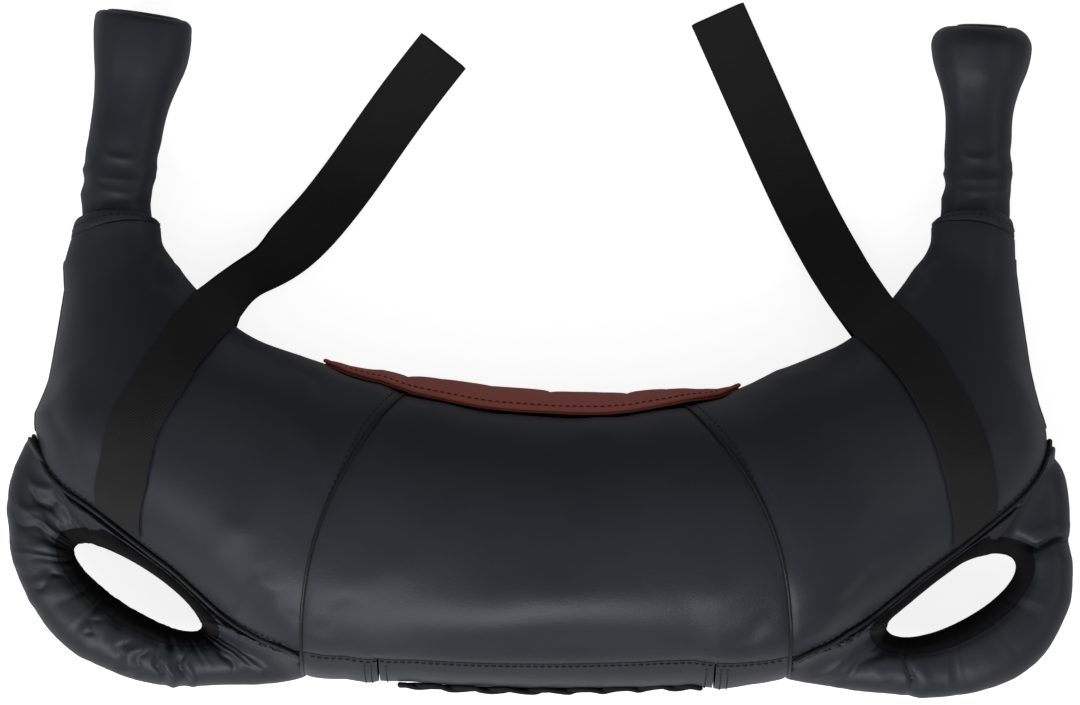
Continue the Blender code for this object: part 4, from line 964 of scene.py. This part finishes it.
strapValues = {
    "width": 0.035, "thickness": 0.0015, "gap": 0.0005, "length": {"left": 0.2085, "right": 0.2035},
    "drop": 0.070, "dropPower": 2.2,
    "inner": {"left": 0.756, "right": 0.745}, "lift": 0.0010, "end": 0.965, "start": 0.055, "columns": 13,
    "legU": [0.0, 0.2, 0.35, 0.45, 0.55, 0.65, 0.75, 0.87, 1.0],
    "legT": {"left": [0.756, 0.732, 0.694, 0.661, 0.622, 0.589, 0.563, 0.545, 0.526],
             "right": [0.745, 0.722, 0.688, 0.658, 0.622, 0.588, 0.560, 0.538, 0.516]},
    "shares": {"left": [0.0, 0.04, 0.09, 0.16, 0.24, 0.33, 0.42, 0.50, 0.62, 0.75, 0.88, 1.0],
               "right": [0.0, 0.06, 0.15, 0.30, 0.45, 0.60, 0.80, 1.0]},
    "headings": {"left": [57, 54, 41, 32.5, 41, 46, 50.5, 53, 55.5, 54.5, 52.5, 51],
                 "right": [52, 57, 60, 62, 65, 66, 66, 66]},
    "roll": {"left": (50, 0.12, 0.165), "right": (12, 0.12, 0.06)}, "rollStart": (-0.03, 0.05),
    "roomShares": (1.2, 0.12), "smoothing": 60, "smoothReach": 0.020, "stations": 90,
}


def strapHinge(side):
    # middle of the fold line, and the way in which the strap leaves the bag
    sign, t = sides[side], strapValues["inner"][side]
    step = 0.5 * strapValues["width"] / body["halfWidth"]
    near = baseSkin(np.array([t - step, t, t + step]), 0.0)
    run = unit((near[2] - near[0]) * [1, 1, 0])
    away = np.array([-run[1], run[0], 0.0])
    share = np.linspace(-1.0, 1.0, 17)
    roomT, roomQ = strapValues["roomShares"]
    spread = baseSkin(t + roomT * share[:, None] * step, roomQ * share)
    furthest = ((spread - near[1]) @ away).max()
    middle = near[1] + away * (furthest + strapValues["gap"] / 2 + strapValues["thickness"] + 0.00065)
    return middle * [sign, 1, 1], away * [sign, 1, 1]


def strapRoute(side):
    # middle line of the free strap and how far it is rolled: its heading turns along it, and its height drops to
    # low + sqrt(drop^2 + roll^2), with roll the height of the rolled half width
    sign, middle, count = sides[side], strapHinge(side)[0], strapValues["stations"]
    share = np.linspace(0.0, 1.0, count + 1)
    headings = np.radians(strapValues["headings"][side])
    heading = np.interp((share[1:] + share[:-1]) / 2, strapValues["shares"][side], headings)
    length = strapValues["length"][side]
    move = length / count * np.stack([-sign * np.cos(heading), np.sin(heading)], -1)
    flat = middle[:2] + np.concatenate([[[0.0, 0.0]], np.cumsum(move, axis=0)])
    low = strapValues["thickness"] + strapValues["gap"] / 2 + 0.0004
    left = np.clip(1.0 - share * length / strapValues["drop"], 0.0, 1.0)
    turn, at, width = strapValues["roll"][side]
    turn = np.radians(turn) * bump(share - at, width) * softStep(share, *strapValues["rollStart"])
    rolled = np.sin(turn) * strapValues["width"] / 2
    height = low + np.hypot((middle[2] - low) * left ** strapValues["dropPower"], rolled)
    return np.concatenate([flat, height[:, None]], axis=1), turn[:, None]


def strapBand(side, sign):
    # rows of points across the band's middle surface, from its sewn front end round the tip to its sewn back end
    offset = np.linspace(-0.5, 0.5, strapValues["columns"])
    legs = []
    for back in (False, True):
        u = np.linspace(strapValues["end"], strapValues["start"], 110)
        q = 3.0 - u if back else u
        t = sign * curveThrough(strapValues["legU"], strapValues["legT"][side], u)
        columns = t[:, None] + offset * strapValues["width"] / metresPerT(t, q)[:, None]
        rise = strapValues["lift"] + strapValues["thickness"] / 2
        legs.append(softSkin(columns, q[:, None], rise)[0])
    route, turn = strapRoute(side)
    ahead = unit(np.gradient(route, axis=0))
    across = unit(np.cross(ahead, [0.0, 0.0, 1.0]))
    above = np.cross(across, ahead)
    across, above = np.cos(turn) * across - np.sin(turn) * above, np.cos(turn) * above + np.sin(turn) * across
    reach = strapValues["gap"] / 2 + strapValues["thickness"] / 2
    turn = np.radians([75, 50, 25, 0, -25, -50, -75])[:, None]
    tip = route[-1] + reach * (np.sin(turn) * above[-1] + np.cos(turn) * ahead[-1])
    line = np.concatenate([route[4:] + above[4:] * reach, tip, (route - above * reach)[4:][::-1]])
    sideways = np.concatenate([across[4:], np.repeat(across[-1:], len(turn), axis=0), across[4:][::-1]])
    free = line[:, None] + sideways[:, None] * (offset * strapValues["width"])[:, None]
    band = np.concatenate([legs[0], free, legs[1][::-1]])
    middle = strapHinge(side)[0]
    near = bump(np.linalg.norm(band[:, len(offset) // 2] - middle, axis=-1), strapValues["smoothReach"])
    near = np.minimum(near * 1.6, 1.0)[1:-1, None, None]
    for _ in range(strapValues["smoothing"]):
        band[1:-1] += near * (0.25 * (band[2:] + band[:-2]) - 0.5 * band[1:-1])
    return band


for side, sign in sides.items():
    band = strapBand(side, sign)
    down = np.gradient(band, axis=0)
    aside = np.gradient(band, axis=1)
    normal = unit(np.cross(aside, down))
    half = strapValues["thickness"] / 2
    edgeRound = 1.0 - 0.55 * (np.abs(np.linspace(-1.0, 1.0, band.shape[1])) ** 14)[None, :, None]
    outside, inside = band + normal * half * edgeRound, band - normal * half * edgeRound
    run = runAlong(band[:, strapValues["columns"] // 2])
    across = np.linspace(0.0, strapValues["width"], band.shape[1])
    uv = together(across[None], run[:, None])
    strap = shell(f"{side}Webbing", outside, inside, looks["webbing"], uv=uv)
    middle, away = strapHinge(side)
    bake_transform(strap)
    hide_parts(f"{side}_strap_front_leg", f"{side}_strap_back_leg", f"{side}_strap_loop")
print("straps made")


# Hand loops

loopValues = {
    "holeLength": {"left": 0.0915, "right": 0.0885}, "holeWidth": {"left": 0.0259, "right": 0.0336},
    "holeTilt": {"left": 32.6, "right": 28.0}, "hole": {"left": (138.0, 587.6), "right": (951.0, 595.6)},
    "outline": {
        "left": [
            (28, 442), (21, 456), (14, 470), (9, 487), (6.4, 509), (7.4, 533), (11.5, 557), (20.4, 582),
            (34, 607),
            (53, 633), (76.5, 653), (103, 668), (132, 680.5), (162.5, 687.5), (192, 687.5), (220, 686),
            (250, 684),
            (278, 681.5), (297, 678), (307, 673), (304, 664),
        ],
        "right": [
            (1054, 459), (1060, 467), (1066, 480), (1069.5, 499), (1071, 519), (1070.5, 541), (1073, 562),
            (1073, 581), (1071, 600), (1063.5, 619), (1054, 638), (1042, 656), (1026, 670), (1006, 682),
            (979, 690.5), (951, 695), (924, 697), (893, 694.5), (857, 691.5), (824, 686), (800, 682),
            (786, 678), (789, 669),
        ],
    },
    "thickness": 0.046, "height": 0.040, "leastWidth": 0.0070, "leastHeight": 0.026, "room": 0.0026,
    "seam": {"left": (0.778, 0.2712), "right": (0.752, 0.2712)}, "seamStations": 14, "holeEvening": 60,
    "sectionEvening": 4, "splitEvening": 60, "turnEvening": 2, "powers": (4.0, 2.2), "fine": 13,
    "lining": 0.0115, "liningSpan": (-0.30, 0.85), "gap": 0.15,
    "liningColumns": 40, "coverColumns": 96, "skin": 0.0014,
}


def fromPixels(places, sign):
    # metres on plan from pixels of the photograph, with x turned to point away from the bag's middle
    away = (np.asarray(places, float) - relief["middle"]) * relief["pixel"]
    return away * [sign, -1.0]


def loopFrame(side):
    # for each station of a hand loop: hole point, outer point, bottom, top and squareness of its section
    sign = sides[side]
    tilt = math.radians(loopValues["holeTilt"][side])
    axes = np.array([[math.cos(tilt), math.sin(tilt)], [-math.sin(tilt), math.cos(tilt)]])
    semi = 0.5 * np.array([loopValues["holeLength"][side], loopValues["holeWidth"][side]])
    centre = fromPixels(loopValues["hole"][side], sign)

    def facing(points):
        return unit((points - centre) @ axes.T / (semi + 0.5 * loopValues["thickness"]))

    fineT = np.linspace(*loopValues["seam"][side], 360)
    fine = besideEdge(sign * fineT, 1.5, loopValues["room"])[:, :2] * [sign, 1]
    length = runAlong(fine)
    turn = np.unwrap(np.arctan2(*facing(fine).T[::-1]))
    spread = length / length[-1] + (turn - turn[0]) / (turn[-1] - turn[0])
    seamT = np.interp(np.linspace(0.0, spread[-1], loopValues["seamStations"]), spread, fineT)
    seam = besideEdge(sign * seamT, 1.5, loopValues["room"])[:, :2] * [sign, 1]
    outside = fromPixels(loopValues["outline"][side], sign)[::-1]
    outer = np.concatenate([seam, outside])
    roundHole = np.linspace(-math.pi, math.pi, 360, endpoint=False)
    hole = centre + (np.stack([np.cos(roundHole), np.sin(roundHole)], -1) * semi) @ axes
    ahead = unit(np.roll(fine, -1, axis=0) - np.roll(fine, 1, axis=0))
    near = np.linalg.norm(hole[:, None] - fine[None], axis=-1).argmin(axis=1)
    square = np.stack([ahead[:, 1], -ahead[:, 0]], -1)[near]
    short = loopValues["leastWidth"] + ((hole - fine[near]) * square).sum(axis=-1, keepdims=True)
    hole = evened(hole - square * np.maximum(short, 0.0), loopValues["holeEvening"])
    turns = np.unwrap(np.arctan2(*facing(outer).T[::-1]))
    way = np.sign(turns[-1] - turns[0])
    gaps = way * np.diff(np.append(turns, turns[0] + 2 * math.pi * way))
    gaps = evened(np.maximum(gaps, 0.02), loopValues["turnEvening"])
    towards = turns[0] + way * np.concatenate([[0.0], np.cumsum(gaps)[:-1]]) * 2 * math.pi / gaps.sum()
    inner = np.stack([np.interp(towards, roundHole, hole[:, k], period=2 * math.pi) for k in (0, 1)], -1)
    wallTop, wallLow = baseSkin(sign * seamT, 1.0)[:, 2], baseSkin(sign * seamT, 2.0)[:, 2]
    level = (wallTop + wallLow) / 2
    half = np.maximum((wallTop - wallLow) / 2, 0.5 * loopValues["leastHeight"])
    free = np.full(len(outside), loopValues["height"])
    top = np.concatenate([level + half, free + 0.5 * loopValues["thickness"]])
    low = np.concatenate([level - half, free - 0.5 * loopValues["thickness"]])
    power = np.repeat(loopValues["powers"], [len(seam), len(outside)])
    return [inner, outer] + [evened(x, loopValues["sectionEvening"]) for x in (low, top, power)]


def loopSkin(side, low, high, count):
    # the loop's skin at many stations, at count angles between two shares of a turn for each station; angle 0
    # faces the hole, a half turn faces outwards; the lining reaches a set distance over the section, so its edge
    # lies at the angle whose cosine is (1 - 2 reach / width) to the power over 2
    frames = loopFrame(side)
    total = len(frames[0])
    place = np.arange(-3, total + 3)
    at = np.linspace(0.0, total, total * loopValues["fine"], endpoint=False)
    inner, outer, bottom, top, power = (curveThrough(place, x[place % total], at) for x in frames)
    width = np.linalg.norm(outer - inner, axis=-1)
    cosine = signedPower(1.0 - 2.0 * loopValues["lining"] / width, power / 2.0)
    split = evened(np.arccos(np.clip(cosine, *loopValues["liningSpan"])), loopValues["splitEvening"])[:, None]
    span = (high[0] - low[0]) + (high[1] - low[1]) * split
    angles = (low[0] + low[1] * split) + span * np.linspace(0.0, 1.0, count)
    middle, half = (outer + inner)[:, None] / 2, (outer - inner)[:, None] / 2
    bend = (2.0 / power)[:, None]
    flat = middle - half * signedPower(np.cos(angles), bend)[..., None]
    height = 0.5 * (top + bottom)[:, None] + signedPower(np.sin(angles), bend) * 0.5 * (top - bottom)[:, None]
    return np.concatenate([flat, height[..., None]], -1), angles, split, width


def closedNormals(grid):
    down = np.roll(grid, -1, axis=0) - np.roll(grid, 1, axis=0)
    around = np.roll(grid, -1, axis=1) - np.roll(grid, 1, axis=1)
    return unit(np.cross(around, down))


loopFolds = {
    "left": [
        (30, 478, 66, 500, 5, 1.6), (34, 492, 60, 516, 4, -1.8), (58, 488, 82, 512, 4, 1.4),
        (44, 506, 72, 498, 3, -1.5),
        (20, 500, 48, 522, 5, 1.5), (16, 518, 50, 535, 4, -1.4), (14, 545, 60, 552, 7, 1.2),
        (18, 572, 64, 575, 5, -1.2),
        (28, 598, 72, 590, 8, 1.1), (36, 588, 62, 572, 3, -1.4), (75, 655, 105, 622, 8, 1.0),
        (88, 632, 100, 618, 3, -1.3),
        (112, 668, 128, 640, 4, -1.4), (122, 672, 138, 646, 4, 1.4), (134, 678, 146, 650, 3, -1.5),
        (163, 690, 158, 648, 3, -2.2), (172, 690, 170, 650, 4, 1.8), (182, 690, 184, 652, 3, -2.2),
        (192, 690, 190, 648, 4, 1.4),
        (235, 672, 218, 640, 3, -1.2), (262, 676, 240, 650, 8, 1.6), (226, 690, 280, 676, 9, 0.9),
    ],
    "right": [
        (1020, 546, 1074, 540, 3.0, -4.6), (1015, 532, 1075, 530, 9, 1.2), (1010, 562, 1070, 560, 10, 1.2),
        (907, 645, 909, 700, 3, -2.4), (920, 650, 922, 700, 7, 0.9), (800, 668, 868, 628, 5, -1.6),
        (815, 676, 872, 640, 5, 1.5),
        (832, 684, 880, 652, 4, -1.3), (870, 690, 885, 655, 9, 0.9), (960, 690, 950, 645, 10, -0.8),
        (1040, 620, 1000, 600, 10, -0.7),
    ],
}
loopGathers = {"left": (0.0010, 0.0075), "right": (0.0003, 0.0100)}
for side, sign in sides.items():
    cut = loopValues["liningColumns"]
    gap = math.radians(loopValues["gap"])
    inside, liningAngles, split, width = loopSkin(side, (0.0, -1.0), (0.0, 1.0), cut)
    outside, coverAngles = loopSkin(side, (gap, 1.0), (2 * math.pi - gap, -1.0), loopValues["coverColumns"])[:2]
    base, angles = np.concatenate([inside, outside], axis=1), np.concatenate([liningAngles, coverAngles], axis=1)
    normal = closedNormals(base)
    run = runAlong(base[:, 90])
    placed = base * [sign, 1, 1]
    lift = 0.0013 * softNoise(placed, 0.050, 61) + 0.0004 * softNoise(placed, 0.016, 62)
    height, pitch = loopGathers[side]
    shift = 0.006 * softNoise(placed, 0.024, 66)
    place = np.stack([(run[:, None] + shift) / pitch, angles * 0.55, 0.0 * angles], -1)
    gathers = 0.55 - 1.9 * np.abs(softNoise(place, 1.0, 63)) + 0.4 * softNoise(place, 0.5, 64)
    patchy = np.clip(0.55 + 1.1 * softNoise(placed, 0.05, 65), 0.1, 1.3)
    fromSplit = np.abs(np.abs((angles + math.pi) % (2 * math.pi) - math.pi) - split)
    lift = lift + height * gathers * patchy * (0.35 + np.exp(-fromSplit / 0.9))
    lift = lift + foldRelief(placed, loopFolds[side]) * softStep(np.sin(angles), -0.2, 0.3)
    lift = lift * (0.12 + 0.88 * softStep(width, 0.009, 0.030)[:, None])
    lift = lift * (0.25 + 0.75 * softStep(1.0 - np.cos(angles), 0.05, 0.5)) - 0.0010 * bump(fromSplit * 0.012, 0.0018)
    skin = base + normal * lift[..., None]
    inside = skin - closedNormals(skin) * loopValues["skin"]
    skin, inside = skin * [sign, 1, 1], inside * [sign, 1, 1]
    for node, part, look, slot in (
        ("lining", np.s_[:, :cut], "lining", "lining"), ("cover", np.s_[:, cut:], "bodyLeather", "leather"),
    ):
        piece = shell(f"{side}Loop{node}", skin[part], inside[part], looks[look], closedRows=True)
        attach(piece, "bag")
        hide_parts(f"{side}_hand_loop_{node}")
    free = loopSkin(side, (0.0, 0.0), (2 * math.pi * 23 / 24, 0.0), 24)[0][14 * loopValues["fine"] + 26:-26:6]
    centre = free.mean(axis=1, keepdims=True)
    core = (centre + (free - centre) * 0.72) * [sign, 1, 1]
    piece = cappedTube(f"{side}LoopFilling", core, looks["stuffing"])
    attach(piece, "bag")
    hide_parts(f"{side}_hand_loop_core")
print("hand loops made")


# Horn grips

gripValues = {
    "radius": 0.0212, "length": {"left": 0.1278, "right": 0.1198}, "lean": {"left": 8.5, "right": -2.2},
    "shares": [0.0, 0.105, 0.39, 0.585, 0.68, 0.78, 0.87, 0.93, 0.96],
    "radii": {"left": [0.0216, 0.0217, 0.0222, 0.0234, 0.0255, 0.0284, 0.0300, 0.0303, 0.0302],
              "right": [0.0212, 0.0210, 0.0203, 0.0213, 0.0240, 0.0282, 0.0305, 0.0308, 0.0303]},
    "aside": {"left": [0.0, -0.0024, -0.0030, -0.0021, -0.0012, -0.0006, -0.0012, -0.0020, -0.0022],
              "right": [0.0, 0.0008, 0.0004, 0.0003, 0.0004, 0.0005, 0.0004, 0.0002, 0.0]},
    "rim": {"left": 0.0050, "right": 0.0120}, "bend": (-0.001, 0.030), "skin": 0.0018,
    "around": 132, "rings": 0.0009, "folds": 0.0005,
}


def gripPoints(side, sign, radius, height, angle):
    # points at a radius and height on the grip's own axis
    lean = math.radians(gripValues["lean"][side])
    ahead = np.array([-sign * math.sin(lean), math.cos(lean), 0.0])
    aside = np.array([ahead[1], -ahead[0], 0.0])
    centre = np.array([sign * collarPlace[0], collarPlace[1], body["gripHeight"]])
    radius, height, angle = np.broadcast_arrays(radius, height, angle)
    sway = curveThrough(gripValues["shares"], gripValues["aside"][side], height / gripValues["length"][side])
    centre = centre + sway[..., None] * aside
    turn = np.cos(angle)[..., None] * aside + np.sin(angle)[..., None] * np.array([0.0, 0.0, 1.0])
    return centre + radius[..., None] * turn + height[..., None] * ahead


for side, sign in sides.items():
    angle = turnAngles(gripValues["around"])
    length = gripValues["length"][side]
    ball = np.radians(np.linspace(50, 86, 8))
    corner = gripValues["rim"][side]
    share = np.linspace(0.0, 1.0 - corner / length - 0.005, 110)
    radius = curveThrough(gripValues["shares"], gripValues["radii"][side], share)
    rim = np.radians(np.linspace(12, 100, 11))
    rimRadius, rimHeight = radius[-1] - corner * (1 - np.cos(rim)), share[-1] * length + corner * np.sin(rim)
    radii = np.concatenate([gripValues["radius"] * np.sin(ball), radius, rimRadius])
    heights = np.concatenate([-gripValues["radius"] * np.cos(ball), share * length, rimHeight])
    out = unit(np.stack([np.gradient(heights), -np.gradient(radii)], -1))
    place = together(np.cos(angle) * 2.0, np.sin(angle) * 2.0, heights[:, None] / 0.011)
    wrap = together(np.cos(angle) * 3.2, np.sin(angle) * 3.2, heights[:, None] / 0.045)
    nearCollar = softStep(heights, 0.004, 0.016) * (1.0 - softStep(heights, 0.030, 0.060))
    nearRim = softStep(heights, 0.055, 0.10)
    tucks = 0.5 - 1.6 * np.abs(softNoise(place * [0.55, 0.55, 1.0], 1.0, 71)) + 0.5 * softNoise(place, 1.0, 73)
    lift = gripValues["rings"] * tucks * (0.12 + 1.3 * nearCollar)[:, None]
    lift = lift + gripValues["folds"] * softNoise(wrap, 1.0, 72) * (0.3 + nearRim)[:, None]
    lift = lift * softStep(heights, 0.0, 0.008)[:, None]
    outside = gripPoints(side, sign, radii[:, None] + out[:, :1] * lift, heights[:, None] + out[:, 1:] * lift, angle)
    lift = lift - gripValues["skin"]
    inside = gripPoints(side, sign, radii[:, None] + out[:, :1] * lift, heights[:, None] + out[:, 1:] * lift, angle)
    sleeve = shell(f"{side}GripLeather", outside, inside, looks["bodyLeather"], closedColumns=True)
    top = heights[-1] - 0.0002
    capRadius = radii[-1] - 0.0004
    capRows = np.array([(0.99, -0.0045), (1.0, -0.002), (0.985, 0.0), (0.93, 0.0011), (0.85, 0.0015), (0.7, 0.0018),
                        (0.5, 0.0020), (0.25, 0.0021)])
    rings = gripPoints(side, sign, capRows[:, :1] * capRadius, top + capRows[:, 1:], angle)
    cap = cappedTube(f"{side}GripEnd", rings, looks["trimLeather"], bulge=0.02)
    slim = radii[10:-12:6] - 0.0035
    rings = gripPoints(side, sign, slim[:, None], heights[10:-12:6][:, None], angle[::4])
    core = cappedTube(f"{side}GripFilling", rings, looks["stuffing"], bulge=0.05)
    bendStart, bendEnd = gripPoints(side, sign, 0.0, np.array(gripValues["bend"]), 0.0)
    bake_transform(sleeve)
    for piece, node in ((sleeve, "grip_sleeve"), (cap, "grip_end_cap"), (core, "grip_core")):
        if piece is not sleeve:
            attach(piece, f"{side}_grip")
        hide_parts(f"{side}_{node}")
print("grips made")


# Filling

sackValues = {"depth": 0.010, "around": 32, "center": (-0.262, 0.262), "side": (0.282, 0.93)}
halves = [np.linspace(*span, sackValues["around"]) for span in ((0.03, 0.97), (2.03, 2.97))]
around = np.concatenate(halves)
for name, node, span in (
    ("centerSack", "center_sand_sack", sackValues["center"]),
    ("leftSack", "left_sand_sack", tuple(-x for x in sackValues["side"])),
    ("rightSack", "right_sand_sack", sackValues["side"]),
):
    t = np.linspace(*span, 40)[:, None]
    rings = baseSkin(t, around) - baseNormal(t, around) * sackValues["depth"]
    middle = rings.mean(axis=1, keepdims=True)
    rings = middle + (rings - middle) * 0.94
    piece = cappedTube(name, rings, looks["sack"], bulge=0.08)
    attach(piece, "bag")
    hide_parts(node)
print("filling made")


# Stitching

def besideSeam(sign, q, reach):
    # the value of t at a distance beyond a side seam, measured on the skin
    edge = sign * body["sideSeam"]
    return edge + sign * reach / metresPerT(edge, q)


darkRows, neckRows = [], []
for sign in (-1.0, 1.0):
    q = np.linspace(padReach(sign * body["sideSeam"]) + 0.01, 0.985, 160)
    darkRows.append(softSkin(besideSeam(sign, q, 0.0052), q))
    q = 3.0 - np.linspace(backPad * padReach(sign * body["sideSeam"]) + 0.01, 0.985, 160)
    darkRows.append(softSkin(besideSeam(sign, q, 0.0052), q))
    q = np.linspace(gussetLine(body["flapEnd"]) + 0.02, 3.0 - body["gussetBack"] - 0.02, 60)
    for reach in (-0.0030, 0.0025, 0.0050):
        darkRows.append(softSkin(sign * (body["flapEnd"] + reach / body["halfWidth"]), q))
    t = sign * np.linspace(body["sideSeam"] + 0.02, 0.775, 200)
    for back in (False, True):
        q = 1.0 - 0.0035 * qGap(t) / panelValues["gap"] + 0.0 * t
        darkRows.append(softSkin(t, 3.0 - q if back else q))
t = np.linspace(-body["sideSeam"] + 0.01, body["sideSeam"] - 0.01, 220)
for q in (gussetLine(t) + 0.009, 3.0 - body["gussetBack"] - 0.010):
    darkRows.append(softSkin(t, q + 0.0 * t))
for sign in (-1.0, 1.0):
    half = np.linspace(0.01, 0.99, 60)
    around = np.concatenate([half, 3.0 - half[::-1]])
    base, normal = baseSkin(sign * 0.9925, around), baseNormal(sign * 0.9925, around)
    darkRows.append((base - normal * 0.0002, normal))
threads = stitches("leatherStitches", darkRows, looks["thread"])
t = body["padMiddle"] + np.linspace(-body["padEnd"] + 0.01, body["padEnd"] - 0.01, 260)
low, high = -backPad * padReach(t), padReach(t)
inset = 0.0055 * qGap(t) / panelValues["gap"]
for q in (high - inset, low + inset):
    base, normal = baseSkin(t, q), baseNormal(t, q)
    neckRows.append((base + normal * padQuilt(t, (q - low) / (high - low))[:, None], normal))
neckThreads = stitches("neckStitches", neckRows, looks["neckThread"])
for piece in (threads, neckThreads):
    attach(piece, "bag")
print("stitching made")


# Floor, light and camera

stageValues = {
    "floor": 0.50, "floorGlow": 0.83, "fill": 0.35, "lens": 400.0, "sensor": 36.0,
    "frameWidth": 0.6588, "middle": (-0.00366, 0.1113), "level": 0.045,
}
lightValues = {
    "top": {"at": (0.0, -0.05, 1.6), "size": (1.8, 0.9), "power": 1.7},
    "front": {"at": (-0.30, -1.20, 1.05), "size": (1.5, 0.5), "power": 30.0},
    "left": {"at": (-1.25, -0.55, 0.70), "size": (0.9, 0.5), "power": 5.5},
    "right": {"at": (1.35, 0.0, 0.80), "size": (1.2, 0.5), "power": 3.0},
}
floorMesh = bpy.data.meshes.new("floor")
floorMesh.from_pydata([(-4, -4, 0), (4, -4, 0), (4, 4, 0), (-4, 4, 0)], [], [(0, 1, 2, 3)])
floor = bpy.data.objects.new("floor", floorMesh)
bpy.context.scene.collection.objects.link(floor)
floorLook = bpy.data.materials.new("floor")
floorLook.use_nodes = True
nodes, links = floorLook.node_tree.nodes, floorLook.node_tree.links
nodes.remove(nodes["Principled BSDF"])
diffuse = nodes.new("ShaderNodeBsdfDiffuse")
diffuse.inputs["Color"].default_value = (stageValues["floor"],) * 3 + (1.0,)
glow = nodes.new("ShaderNodeEmission")
path = nodes.new("ShaderNodeLightPath")
share = nodes.new("ShaderNodeMath")
share.operation = "MULTIPLY"
share.inputs[1].default_value = stageValues["floorGlow"]
links.new(path.outputs["Is Camera Ray"], share.inputs[0])
links.new(share.outputs["Value"], glow.inputs["Strength"])
both = nodes.new("ShaderNodeAddShader")
links.new(diffuse.outputs["BSDF"], both.inputs[0])
links.new(glow.outputs["Emission"], both.inputs[1])
links.new(both.outputs["Shader"], nodes["Material Output"].inputs["Surface"])
floorMesh.materials.append(floorLook)

world = bpy.data.worlds.new("surroundings")
bpy.context.scene.world = world
world.use_nodes = True
nodes, links = world.node_tree.nodes, world.node_tree.links
back = nodes["Background"]
path = nodes.new("ShaderNodeLightPath")
mix = nodes.new("ShaderNodeMix")
mix.data_type = "RGBA"
mix.inputs["A"].default_value = (stageValues["fill"],) * 3 + (1.0,)
mix.inputs["B"].default_value = (1.0, 1.0, 1.0, 1.0)
links.new(path.outputs["Is Camera Ray"], mix.inputs["Factor"])
links.new(mix.outputs["Result"], back.inputs["Color"])
back.inputs["Strength"].default_value = 1.0

for name, values in lightValues.items():
    lamp = bpy.data.lights.new(name, "AREA")
    lamp.shape = "RECTANGLE"
    lamp.size, lamp.size_y = values["size"]
    lamp.energy = values["power"]
    lampObject = bpy.data.objects.new(name, lamp)
    lampObject.location = values["at"]
    aim = np.array([0.0, 0.08, 0.04]) - np.array(values["at"])
    lampObject.rotation_euler = (
        math.atan2(math.hypot(aim[0], aim[1]), -aim[2]), 0.0, math.atan2(aim[1], aim[0]) - math.pi / 2,
    )
    bpy.context.scene.collection.objects.link(lampObject)

camera = bpy.data.cameras.new("camera")
camera.lens = stageValues["lens"]
camera.sensor_width = stageValues["sensor"]
camera.clip_end = 50.0
cameraObject = bpy.data.objects.new("camera", camera)
distance = stageValues["frameWidth"] * stageValues["lens"] / stageValues["sensor"]
cameraObject.location = (*stageValues["middle"], stageValues["level"] + distance)
bpy.context.scene.collection.objects.link(cameraObject)
bpy.context.scene.camera = cameraObject
bpy.context.scene.view_settings.view_transform = "Standard"
print("stage set")
